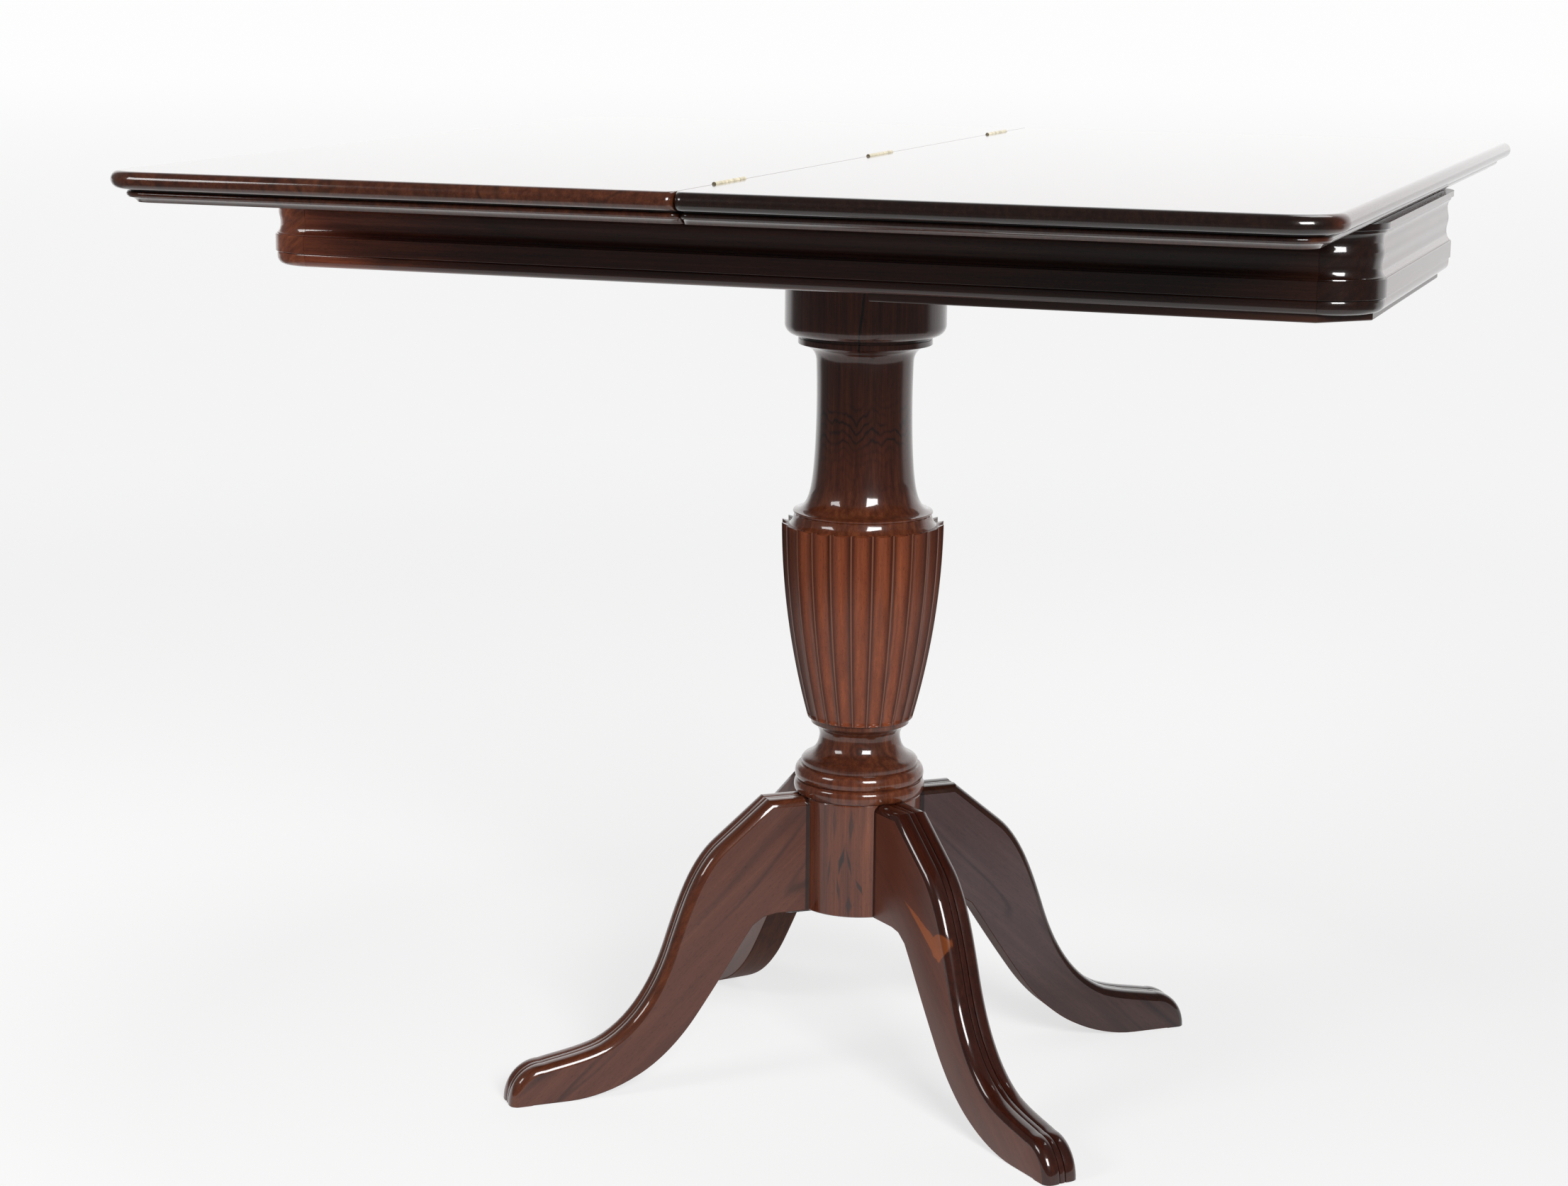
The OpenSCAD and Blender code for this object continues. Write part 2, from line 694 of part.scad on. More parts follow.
function column_outline() =
    let (ring_mid = block_top + ring_h, ring_in = ring_r - 3, rim = ring_top + bell_rim_h, waist = ring_top + 24,
        lip = vase_z - lip_h, lip_r = vase_low_r - lip_in, hollow_r = vase_top_r - flute_top_d - 1,
        shoulder = [shaft_r + 1.2, collar_top + 45], cove = [shaft_r + 0.5, drum_z - 21],
        groove = drum_z - drum_groove_h)
    concat([[0, block_z], [block_r, block_z], [block_r, block_top]],
        bez([ring_in, block_top], [ring_r + 1, block_top + 1], [ring_r + 1, ring_mid - 1],
            [ring_in, ring_mid], 6),
        bez([ring_in, ring_mid], [ring_r + 1, ring_mid + 1], [ring_r, ring_top - 2],
            [ring_in - 1, ring_top], 6),
        [[bell_r, ring_top], [bell_r, rim]],
        bez([bell_r, rim], [bell_r - 2.4, rim + 4.4], [waist_r + 1.4, rim + 3.6], [waist_r, waist], 7),
        bez([waist_r, waist], [waist_r - 0.5, lip - 6], [waist_r + 2, lip - 2], [lip_r, lip], 4),
        [[lip_r, vase_z]],
        vase_curve(9),
        [[hollow_r, vase_top]],
        bez([hollow_r, vase_top], [hollow_r, vase_top + hollow_h], [collar_r, vase_top + hollow_h],
            [collar_r, collar_top - 3], 5),
        [[collar_r, collar_top]],
        bez([collar_r, collar_top], [shaft_r + 6.6, collar_top + 2.2], [shaft_r + 3.2, collar_top + 13],
            shoulder, 9),
        bez(shoulder, [shaft_r - 0.1, collar_top + 66], [shaft_r - 0.6, drum_z - 48], cove, 6),
        bez(cove, [shaft_r + 0.9, drum_z - 15.5], [shaft_r + 3.5, drum_z - 10.4],
            [fillet_r - 4, drum_z - fillet_h - 4], 6),
        [[fillet_r, drum_z - fillet_h - 3], [fillet_r, groove], [fillet_r - 2, groove], [fillet_r - 2, drum_z]],
        arc([drum_r - drum_edge_r, drum_z + drum_edge_r], drum_edge_r, 270, 360, 5),
        [[drum_r, frame_z], [tenon_r, frame_z], [tenon_r, frame_z + bearer_t], [0, frame_z + bearer_t]]);

// Path of the gouge along the vase: one arc just outside its surface
flute_a = vase_a + (flute_r - flute_low_d)*(vase_a - vase_c)/vase_arc_r;
flute_b = vase_b + (flute_r - flute_top_d)*(vase_b - vase_c)/vase_arc_r;
flute_c = arc_centre(flute_a, flute_b, vase_swell);
flute_path_r = norm(flute_b - flute_c);
flute_a0 = atan2(flute_a[1] - flute_c[1], flute_a[0] - flute_c[0]);
flute_a1 = atan2(flute_b[1] - flute_c[1], flute_b[0] - flute_c[0]);
// Angle along that arc by which the gouge runs out past the foot of the vase
flute_past = 0.2;

module flute_cut() {
    rotate([90, 0, 0]) translate([flute_c[0], flute_c[1], 0]) rotate([0, 0, flute_a0 - flute_past])
        rotate_extrude(angle = flute_a1 - flute_a0 + 3*flute_past, $fn = 720)
            translate([flute_path_r, 0]) circle(r = flute_r, $fn = 32);
}

// A dovetail along +X, from just past the block's surface inwards
module dovetail() {
    x0 = block_r - dovetail_l;
    x1 = block_r + cut;
    translate([0, 0, block_z]) linear_extrude(dovetail_h) polygon([[x0, -dovetail_tip/2], [x0, dovetail_tip/2],
        [x1, dovetail_root/2], [x1, -dovetail_root/2]]);
}

// A wedge across the tenon, its top flush with the tenon's
module wedge_solid() {
    translate([-wedge_w/2, -wedge_t/2, frame_z + wedge_up]) cube([wedge_w, wedge_t, bearer_t - wedge_up]);
}

module tenon_wedge() {
    color(INSIDE) at_axis() wedge_solid();
}

module column() {
    color(MAHOGANY) at_axis() difference() {
        rotate_extrude($fn = 96) polygon(column_outline());
        for (i = [0:flutes - 1]) rotate([0, 0, i*360/flutes]) flute_cut();
        for (a = leg_angles) rotate([0, 0, a]) dovetail();
        wedge_solid();
        hub_screw();
    }
}

// Legs

// Points along a leg in its own plane: distance from the axis of the column, and height
flat_end = [block_r + leg_flat, leg_top_z];
slope_end = flat_end + [40, -33];
shin = [leg_reach - 139, leg_top_z - 112];
instep = [leg_reach - 78, toe_h + 11];
ball = [leg_reach - 25, toe_h];
tip = [leg_reach, toe_h/3];
sole_end = [leg_reach - toe_round, 0];
heel = [leg_reach - toe_round - sole_l, 0];
arch = [leg_reach - 107, 15];
calf = [leg_reach - 157, 60];
haunch = [block_r + 56, block_z - 22];
root = [block_r + 26, block_z];

// Upper edge of a leg from the block to the toe, then round the toe to the sole
function leg_upper() = concat(
    [[block_r, leg_top_z], flat_end, slope_end],
    bez(slope_end, slope_end + [23, -18], shin + [-9, 26], shin, 8),
    bez(shin, shin + [8, -25], instep + [-37, 17], instep, 9),
    bez(instep, instep + [16, -6], ball + [-18, 3], ball, 4),
    bez(ball, ball + [13, -2.5], tip + [-1, 11], tip, 6),
    bez(tip, tip + [0, -6], sole_end + [4, 1], sole_end, 3));

// Lower edge of a leg from the sole back up to the block
function leg_lower() = concat(
    [heel],
    bez(heel, heel + [-20, 0], arch + [17, -9], arch, 6),
    bez(arch, arch + [-20, 10], calf + [13, -18], calf, 6),
    bez(calf, calf + [-15, 21], haunch + [11, -17], haunch, 4),
    bez(haunch, haunch + [-9, 15], root + [12, 0], root, 6),
    [[block_r, block_z]]);

// The same outline drawn in by d, for the outer slices of a leg
function drawn_in(points, d) = [for (i = [0:len(points) - 1])
    let (a = points[max(i - 1, 0)], b = points[min(i + 1, len(points) - 1)], t = (b - a)/norm(b - a))
    points[i] + d*[t[1], -t[0]]];

module leg_slice(inset, t) {
    upper = drawn_in(leg_upper(), inset);
    rotate([90, 0, 0]) translate([0, 0, -t/2]) linear_extrude(t) polygon(concat(
        [for (p = upper) if (p[1] > inset/2) p], [sole_end - [1 + inset, 0]], leg_lower()));
}

module leg(i) {
    rotate([0, 0, leg_angles[i]]) difference() {
        union() {
            difference() {
                union() {
                    leg_slice(0, leg_t - 2*leg_edge);
                    leg_slice(leg_edge*0.3, leg_t - leg_edge*0.8);
                    leg_slice(leg_edge, leg_t);
                }
                translate([0, 0, block_z - cut]) cylinder(h = block_h + ring_h, r = block_r, $fn = 96);
                translate([0, 0, block_top]) cylinder(h = ring_h, r = ring_r, $fn = 96);
            }
            dovetail();
        }
        tie_screw_line();
    }
}

module leg_front() {
    color(WALNUT) at_axis() leg(0);
}

module leg_back() {
    color(WALNUT) at_axis() leg(1);
}

module leg_left() {
    color(WALNUT) at_axis() leg(2);
}

module leg_right() {
    color(WALNUT) at_axis() leg(3);
}

module tie_screw_line() {
    translate([block_r + tie_screw_out, 0, block_z - tie_t]) rotate([180, 0, 0]) screw(screw_d, screw_l);
}

module hub_screw() {
    translate([0, 0, block_z - tie_t]) rotate([180, 0, 0]) screw(hub_screw_d, hub_screw_l);
}

module tie_screws() {
    color(STEEL) at_axis() {
        for (a = leg_angles) rotate([0, 0, a]) tie_screw_line();
        hub_screw();
    }
}

module tie_plate() {
    color(STEEL) at_axis() difference() {
        union() {
            translate([0, 0, block_z - tie_t]) cylinder(h = tie_t, r = tie_hub_r);
            for (a = leg_angles) rotate([0, 0, a]) {
                translate([0, -tie_w/2, block_z - tie_t]) cube([block_r + tie_past - tie_w/2, tie_w, tie_t]);
                translate([block_r + tie_past - tie_w/2, 0, block_z - tie_t]) cylinder(h = tie_t, d = tie_w);
            }
        }
        for (a = leg_angles) rotate([0, 0, a]) tie_screw_line();
        hub_screw();
    }
}

column();
leg_front();
leg_back();
leg_left();
leg_right();
tie_plate();
tie_screws();
tenon_wedge();
bearer();
front_rail();
back_rail();
left_rail();
right_rail();
corner_front_left();
corner_front_right();
corner_back_left();
corner_back_right();
glue_blocks();
partition();
well_board();
well_screws();
pivot_board();
pivot_ledgers();
ledger_screws();
pivot_bush();
fixed_leaf();
swivel_plate();
swivel_screws();
pivot_bolt();
pivot_washer();
pivot_nut();
lock_nut();
stop_peg();
fixed_hinge_plates();
fixed_hinge_screws();
hinge_pins();
folding_leaf();
folding_hinge_plates();
folding_hinge_screws();
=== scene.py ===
"""Looks of a fold-over table with a swivel top, on a fluted column with four sabre legs."""
import math

import bmesh
import bpy
from mathutils import Matrix, Vector


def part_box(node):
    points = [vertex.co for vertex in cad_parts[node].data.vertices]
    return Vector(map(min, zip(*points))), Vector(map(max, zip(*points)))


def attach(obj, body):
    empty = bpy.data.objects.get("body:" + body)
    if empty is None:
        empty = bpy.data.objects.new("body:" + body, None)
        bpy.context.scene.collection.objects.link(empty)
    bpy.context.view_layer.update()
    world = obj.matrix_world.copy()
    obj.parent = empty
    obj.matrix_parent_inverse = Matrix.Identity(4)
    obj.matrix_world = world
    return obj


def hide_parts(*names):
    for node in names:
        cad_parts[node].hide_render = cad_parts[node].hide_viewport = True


bl_info = {
    "name": "Fold-over Table",
    "version": (1, 0, 0),
    "blender": (4, 5, 0),
    "location": "3D View > Sidebar > Table",
    "description": "Builds the visible pieces of a fold-over table around its frame",
    "category": "Object",
}

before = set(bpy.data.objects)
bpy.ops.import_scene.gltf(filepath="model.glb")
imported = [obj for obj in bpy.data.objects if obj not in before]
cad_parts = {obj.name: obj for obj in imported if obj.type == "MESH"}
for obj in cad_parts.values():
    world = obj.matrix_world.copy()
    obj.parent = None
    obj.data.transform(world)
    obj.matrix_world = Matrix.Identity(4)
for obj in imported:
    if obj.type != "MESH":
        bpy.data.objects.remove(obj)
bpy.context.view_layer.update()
LEAF_LOW, LEAF_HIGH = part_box("folding_leaf")
END_LOW, END_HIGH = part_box("right_rail")
COLUMN_LOW, COLUMN_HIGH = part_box("column")
AXIS_Y = (COLUMN_LOW.y + COLUMN_HIGH.y) / 2
FRAME_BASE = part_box("front_rail")[0].z
MM = 0.001
QUARTER = math.radians(90)


# Curves and meshes

SAME = 1e-6
END_BEVEL = 0.0003


def arc(x, y, radius, start, end, steps):
    """Points of an arc, angles in degrees, both ends included."""
    angles = [math.radians(start + (end - start) * i / steps) for i in range(steps + 1)]
    return [(x + radius * math.cos(a), y + radius * math.sin(a)) for a in angles]


def bend(points, b, c, d, steps, start=None):
    """Leads a line on to d from its last point, or from start, by a curve drawn towards b and c."""
    a = start or points[-1]
    for i in range(1, steps + 1):
        t = i / steps
        s = 1 - t
        weights = (s * s * s, 3 * s * s * t, 3 * s * t * t, t * t * t)
        points.append(tuple(sum(w * p[k] for w, p in zip(weights, (a, b, c, d))) for k in range(2)))


def new_verts(result):
    """The vertices among what an operator made."""
    return [g for g in result["geom"] if isinstance(g, bmesh.types.BMVert)]


def loft(bm, rings):
    """Extrudes a closed ring from place to place and closes both ends."""
    verts = [bm.verts.new(p) for p in rings[0]]
    edges = [bm.edges.new((v, verts[i - 1])) for i, v in enumerate(verts)]
    bmesh.ops.contextual_create(bm, geom=edges)
    for ring in rings[1:]:
        fresh = set(new_verts(bmesh.ops.extrude_edge_only(bm, edges=edges)))
        following = []
        for old, place in zip(verts, ring):
            new = next(e.other_vert(old) for e in old.link_edges if e.other_vert(old) in fresh)
            new.co = place
            following.append(new)
        edges = [bm.edges.get((v, following[i - 1])) for i, v in enumerate(following)]
        verts = following
    bmesh.ops.contextual_create(bm, geom=edges)


def moulding(bm, outline):
    """A face with the outline of a moulding, in the plane x = 0: depth runs along Y, height along Z."""
    return bm.faces.new([bm.verts.new((0, y * MM, z * MM)) for y, z in outline])


def move(bm, way, verts=None):
    """Moves some vertices of a piece, or else all of them."""
    bmesh.ops.translate(bm, vec=way, verts=verts or bm.verts)


def to_axis(bm, turn=0):
    """Turns a piece about Z, by degrees, and moves it to the column's axis."""
    bmesh.ops.rotate(bm, cent=(0, 0, 0), matrix=Matrix.Rotation(math.radians(turn), 3, "Z"), verts=bm.verts)
    move(bm, (0, AXIS_Y, 0))


def soften_ends(bm):
    """Breaks the edges round the flat ends of a moulding, its only faces with more than four sides."""
    edges = {e for f in bm.faces if len(f.verts) > 4 for e in f.edges}
    bmesh.ops.bevel(bm, geom=list(edges), offset=END_BEVEL, offset_type="OFFSET", segments=1, profile=0.5,
                    affect="EDGES", material=-1, clamp_overlap=True)


def new_object(name, data):
    """A new object in the scene."""
    item = bpy.data.objects.new(name, data)
    bpy.context.scene.collection.objects.link(item)
    return item


def finish_piece(bm, name, body, nodes, materials, sharp=32):
    """Turns a bmesh into a piece that rides on a body and stands for its CAD nodes."""
    bmesh.ops.remove_doubles(bm, verts=bm.verts, dist=SAME)
    bmesh.ops.recalc_face_normals(bm, faces=bm.faces)
    mesh = bpy.data.meshes.new(name)
    bm.to_mesh(mesh)
    bm.free()
    mesh.polygons.foreach_set("use_smooth", [True] * len(mesh.polygons))
    mesh.set_sharp_from_angle(angle=math.radians(sharp))
    for material in materials:
        mesh.materials.append(material)
    piece = new_object(name, mesh)
    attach(piece, body)
    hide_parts(*nodes)


def cover(name, material):
    """Gives a CAD node a material of its own."""
    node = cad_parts[name]
    node.data.materials.clear()
    node.data.materials.append(material)


# Materials

class Recipe:
    """Adds shader nodes to a new material or world, most of them in one line each."""

    def __init__(self, owner, shader="Principled BSDF"):
        owner.use_nodes = True
        self.material = owner
        self.tree = owner.node_tree
        self.shader = self.tree.nodes[shader]

    def add(self, kind, out=0, settings=None, **inputs):
        """A node with its settings, and its inputs by their names. Returns one of its outputs."""
        node = self.tree.nodes.new("ShaderNode" + kind)
        for key, value in (settings or {}).items():
            setattr(node, key, value)
        for key, value in inputs.items():
            self.feed(node.inputs[key.replace("_", " ")], value)
        return node.outputs[out]

    def feed(self, socket, value):
        """Links a socket into another one, or sets it to a value."""
        if isinstance(value, bpy.types.NodeSocket):
            self.tree.links.new(value, socket)
        else:
            socket.default_value = value

    def surface(self, **inputs):
        """Feeds inputs of the shader itself."""
        for key, value in inputs.items():
            self.feed(self.shader.inputs[key.replace("_", " ")], value)

    def maths(self, operation, a, b=0.0, c=0.0, clamp=False):
        """One step of arithmetic on sockets or numbers."""
        node = self.tree.nodes.new("ShaderNodeMath")
        node.operation = operation
        node.use_clamp = clamp
        for socket, value in zip(node.inputs, (a, b, c)):
            self.feed(socket, value)
        return node.outputs[0]

    def times(self, *values):
        """Product of some values."""
        product = values[0]
        for value in values[1:]:
            product = self.maths("MULTIPLY", product, value)
        return product

    def total(self, *parts):
        """Sum of some values, each times its share."""
        total = self.times(*parts[0])
        for value, share in parts[1:]:
            total = self.maths("ADD", total, self.times(value, share))
        return total

    def axis(self, coords, name):
        """One of three coordinates: X, Y or Z."""
        return self.add("SeparateXYZ", out=name, Vector=coords)

    def measure(self, operation, vector):
        """A number taken from a vector, such as its length."""
        return self.add("VectorMath", out="Value", settings={"operation": operation}, Vector=vector)

    def mix(self, factor, a, b, blend="MIX"):
        """Two colours mixed, each of them a socket, a grey or a colour."""
        node = self.tree.nodes.new("ShaderNodeMix")
        node.data_type = "RGBA"
        node.blend_type = blend
        self.feed(node.inputs[0], factor)
        for index, value in ((6, a), (7, b)):
            self.feed(node.inputs[index], value if isinstance(value, bpy.types.NodeSocket) else rgba(value))
        return node.outputs[2]

    def stain(self, factor, colour, tint):
        """The colour, times a tint where the factor is 1."""
        return self.mix(factor, colour, self.mix(1.0, colour, tint, blend="MULTIPLY"))

    def ramp(self, factor, *stops):
        """Colours or greys between stops, each of them a place and its colour."""
        node = self.tree.nodes.new("ShaderNodeValToRGB")
        elements = node.color_ramp.elements
        while len(elements) < len(stops):
            elements.new(0.5)
        for element, (place, colour) in zip(elements, stops):
            element.position = place
            element.color = rgba(colour)
        self.feed(node.inputs[0], factor)
        return node.outputs[0]

    def place(self, coords, size, turn=(0, 0, 0), shift=(0, 0, 0)):
        """Coordinates turned into the grain's own axes, in units of the size of a feature."""
        return self.add("Mapping", settings={"vector_type": "TEXTURE"}, Vector=coords, Location=shift,
                        Rotation=turn, Scale=size)

    def smooth(self, value, start, end):
        """0 before start and 1 after end, with a soft step between."""
        low, high, first, last = (start, end, 0.0, 1.0) if start < end else (end, start, 1.0, 0.0)
        return self.add("MapRange", settings={"interpolation_type": "SMOOTHSTEP"}, Value=value, From_Min=low,
                        From_Max=high, To_Min=first, To_Max=last)

    def spot(self, across, along, drift=0.0):
        """1 in the middle of a spot with pointed ends, 0 outside it. Drift moves its edges sideways."""
        reach = self.maths("ADD", self.maths("ABSOLUTE", self.maths("ADD", across, drift)),
                           self.maths("ABSOLUTE", along))
        return self.smooth(reach, 1.0, 0.45)

    def linear(self, value, slope, start):
        """Value times slope, plus start."""
        return self.maths("MULTIPLY_ADD", value, slope, start)

    def stripes(self, value):
        """From 0 to 1 and back, once for each whole turn of the value, in radians."""
        return self.linear(self.maths("SINE", value), 0.5, 0.5)

    def noise(self, coords, size, shift=(0, 0, 0), detail=3.0, roughness=0.5, distortion=0.0):
        """Noise whose features have a size along each axis."""
        return self.add("TexNoise", Vector=self.place(coords, size, shift=shift), Scale=1.0, Detail=detail,
                        Roughness=roughness, Distortion=distortion)


def rgba(colour):
    """Four channels from a grey or a colour."""
    if isinstance(colour, (int, float)):
        return (colour, colour, colour, 1.0)
    return (*tuple(colour)[:3], 1.0)


def wood(name, looks, tint=1.0, turn=(0, 0, 0), shift=(0, 0, 0), gloss=0.06, rough=0.3, figure=1.0,
         contrast=1.0, coat=1.0, streak=0.004, paint=None):
    """Polished dark wood. Its grain runs along the local X axis, which turn swings round.

    Sizes are a feature's length along the grain and its width across it. Paint adds a piece's own marks, and
    on some pieces painted light and shade."""
    r = Recipe(bpy.data.materials.new(name))
    coords = r.add("TexCoord", out="Object")
    base = r.place(coords, (1, 1, 1), turn, shift)
    slow = r.noise(base, (0.5, 0.07, 0.07), detail=2.0, distortion=0.4)
    bands = r.maths("SINE", r.times(slow, 46.0))
    streaks = r.noise(base, (0.16, streak, streak), detail=5.0, roughness=0.62)
    fine = r.noise(base, (0.03, 0.0009, 0.0009), detail=3.0, roughness=0.6)
    drift = r.noise(base, (0.22, 0.05, 0.05), shift=(3, 1, 2), detail=2.0)
    tone = r.total((streaks, 0.55), (fine, 0.2), (drift, 0.25), (bands, 0.035 * figure))
    tone = r.linear(tone, contrast, 0.5 * (1 - contrast))
    tints = tint if isinstance(tint, tuple) else (tint, tint, tint)
    dark, middle, light, black = ([c * t for c, t in zip(colour, tints)]
                                  for colour in (looks.dark, looks.middle, looks.light, looks.vein))
    colour = r.ramp(tone, (0.3, dark), (0.5, middle), (0.72, light))
    vein = r.maths("POWER", r.linear(bands, 0.5, 0.5), 7.0)
    patch = r.ramp(drift, (0.42, 0.0), (0.62, 1.0))
    vein = r.maths("MULTIPLY", r.times(vein, patch), 0.75 * figure, clamp=True)
    colour = r.mix(vein, colour, black)
    pores = r.noise(base, (0.004, 0.00038, 0.00038), detail=1.0)
    pore_mask = r.ramp(pores, (0.62, 0.0), (0.72, 1.0))
    colour = r.mix(r.times(pore_mask, 0.5), colour, [c * 0.5 for c in black])
    if paint:
        colour = paint(r, coords, colour)
    wave = r.noise(coords, (0.03, 0.03, 0.03), detail=1.0)
    height = r.total((wave, 0.6), (pore_mask, -0.12))
    r.surface(Base_Color=colour, Roughness=r.linear(fine, 0.14, rough - 0.07),
              Normal=r.add("Bump", Strength=0.25, Distance=0.0004, Height=height))
    r.shader.inputs["Specular IOR Level"].default_value = 0.1
    r.shader.inputs["Coat Weight"].default_value = coat
    r.shader.inputs["Coat Roughness"].default_value = gloss
    r.shader.inputs["Coat IOR"].default_value = 1.5
    return r.material


def plain_wood(name, colour, turn=(0, 0, 0), rough=0.6):
    """Unpolished or thinly stained wood of the hidden pieces."""
    r = Recipe(bpy.data.materials.new(name))
    base = r.place(r.add("TexCoord", out="Object"), (1, 1, 1), turn)
    streaks = r.noise(base, (0.1, 0.004, 0.004), detail=4.0, roughness=0.6)
    fine = r.noise(base, (0.012, 0.0006, 0.0006), detail=2.0)
    tone = r.total((streaks, 0.7), (fine, 0.3))
    dark, middle, light = ([c * share for c in colour] for share in (0.6, 1.0, 1.25))
    r.surface(Base_Color=r.ramp(tone, (0.32, dark), (0.5, middle), (0.7, light)),
              Roughness=r.linear(fine, 0.2, rough - 0.1),
              Normal=r.add("Bump", Strength=0.3, Distance=0.0003, Height=tone))
    return r.material


def metal(name, colour, tarnish, rough=0.35):
    """Old brass or iron, darker where it has tarnished."""
    r = Recipe(bpy.data.materials.new(name))
    coords = r.add("TexCoord", out="Object")
    cloud = r.noise(coords, (0.006, 0.006, 0.006), detail=4.0, roughness=0.65)
    grit = r.noise(coords, (0.0006, 0.0006, 0.0006), detail=2.0)
    tarnished = r.ramp(cloud, (0.35, 0.0), (0.65, 1.0))
    r.surface(Base_Color=r.mix(tarnished, colour, tarnish),
              Roughness=r.linear(cloud, 0.3, rough - 0.15),
              Normal=r.add("Bump", Strength=0.2, Distance=0.0001, Height=grit))
    r.shader.inputs["Metallic"].default_value = 1.0
    return r.material


# Settings

def length(name, description, default):
    return bpy.props.FloatProperty(name=name, description=description, default=default, min=0, max=2,
                                   unit="LENGTH", subtype="DISTANCE", precision=4)


def shade(name, description, default):
    return bpy.props.FloatVectorProperty(name=name, description=description, default=default, min=0, max=1,
                                         size=3, subtype="COLOR")


class TableLooks(bpy.types.PropertyGroup):
    """Colours of the wood and the fittings."""
    dark: shade("Dark grain", "Colour of the dark bands of the wood", (0.036, 0.0085, 0.0050))
    middle: shade("Grain", "Main colour of the wood", (0.120, 0.031, 0.013))
    light: shade("Light grain", "Colour of the light bands of the wood", (0.25, 0.075, 0.030))
    vein: shade("Veins", "Colour of the black veins and the pores", (0.010, 0.004, 0.0035))
    inside: shade("Hidden wood", "Colour of the unpolished wood inside the frame", (0.30, 0.165, 0.085))
    brass: shade("Brass", "Colour of the hinges", (0.84, 0.75, 0.53))
    iron: shade("Iron", "Colour of the iron fittings", (0.30, 0.30, 0.31))


class TableTop(bpy.types.PropertyGroup):
    """Sizes of the two leaves."""
    thickness: length("Thickness", "Thickness of a leaf", LEAF_HIGH.z - LEAF_LOW.z)
    corner: length("Corner radius", "Radius of the outer corners, seen from above", 0.036)
    seam_corner: length("Seam corner radius", "Radius of the corners beside the seam", 0.0065)
    nose: length("Nose height", "Height of the rounded nose", 0.013)
    seam: length("Seam", "Half of the gap between the leaves", 0.00045)


class TableFrame(bpy.types.PropertyGroup):
    """Sizes of the frame under the top."""
    corner: length("Corner radius", "Radius of the frame corners, seen from above", 0.042)
    thickness: length("Rail thickness", "Thickness of the rails", 0.024)
    board_edge: length("Board edge", "Rounding of the edge of the board below the frame", 0.0012)


class TableColumn(bpy.types.PropertyGroup):
    """Sizes of the turned column."""
    flute_depth: length("Flute depth", "Depth of the flutes at the top of the vase", 0.0042)
    flute_foot: length("Flute depth below", "Depth of the flutes at the foot of the vase", 0.0022)
    flute_radius: length("Gouge radius", "Radius of the gouge that cuts the flutes", 0.0095)


class TableLegs(bpy.types.PropertyGroup):
    """Sizes of the legs."""
    thickness: length("Thickness", "Thickness of a leg", 0.031)
    lobe: length("Lobe depth", "How far the rounded upper edge reaches down the side", 0.006)
    groove: length("Groove depth", "Depth of the two grooves in the upper edge", 0.0018)


# Stage

# Turns of the camera in degrees, its place from the foot of the column's axis, and its lens in millimetres
CAMERA_TURNS = (-19.8, 11.796, 0.527)
CAMERA_PLACE = (0.7699, -2.3271, 0.9154)
CAMERA_LENS = 69.97

# Each lamp's name, its distance from the point it shines at, azimuth, elevation, size and power
LAMP_HEIGHT = 0.45
LAMPS = (("lamp_front", 2.9, -52, 25, (1.12, 0.95), 79),
         ("lamp_left", 2.9, -134, 26, (0.95, 0.7), 23),
         ("lamp_back", 3.4, 60, 62, (1.4, 1.4), 26))

# Polish mirrors a white sweep behind the table. Each pair says where it starts and where it is full: on the
# floor and above it, by how far a direction points along BEHIND, and at its top, by how far it points up.
BEHIND = (-0.075, 0.997, 0)
SWEEP_EDGE = (0.3, 0.56)
BACKDROP_EDGE = (0.5, 0.8)
SWEEP_TOP = (0.88, 0.62)

# Light of the sweep and of the dim room, how much more of both polish mirrors, and the white that is seen
SWEEP_LIGHT, ROOM_LIGHT = 0.66, 0.03
MIRRORED_GAIN, MIRRORED_HAZE = 0.56, 0.11
SEEN_WHITE = 0.985


def backwards(r, ways):
    """How far a direction points along BEHIND: 1 straight along it, 0 across it."""
    share = r.measure("DOT_PRODUCT", ways)
    share.node.inputs[1].default_value = BEHIND
    return share


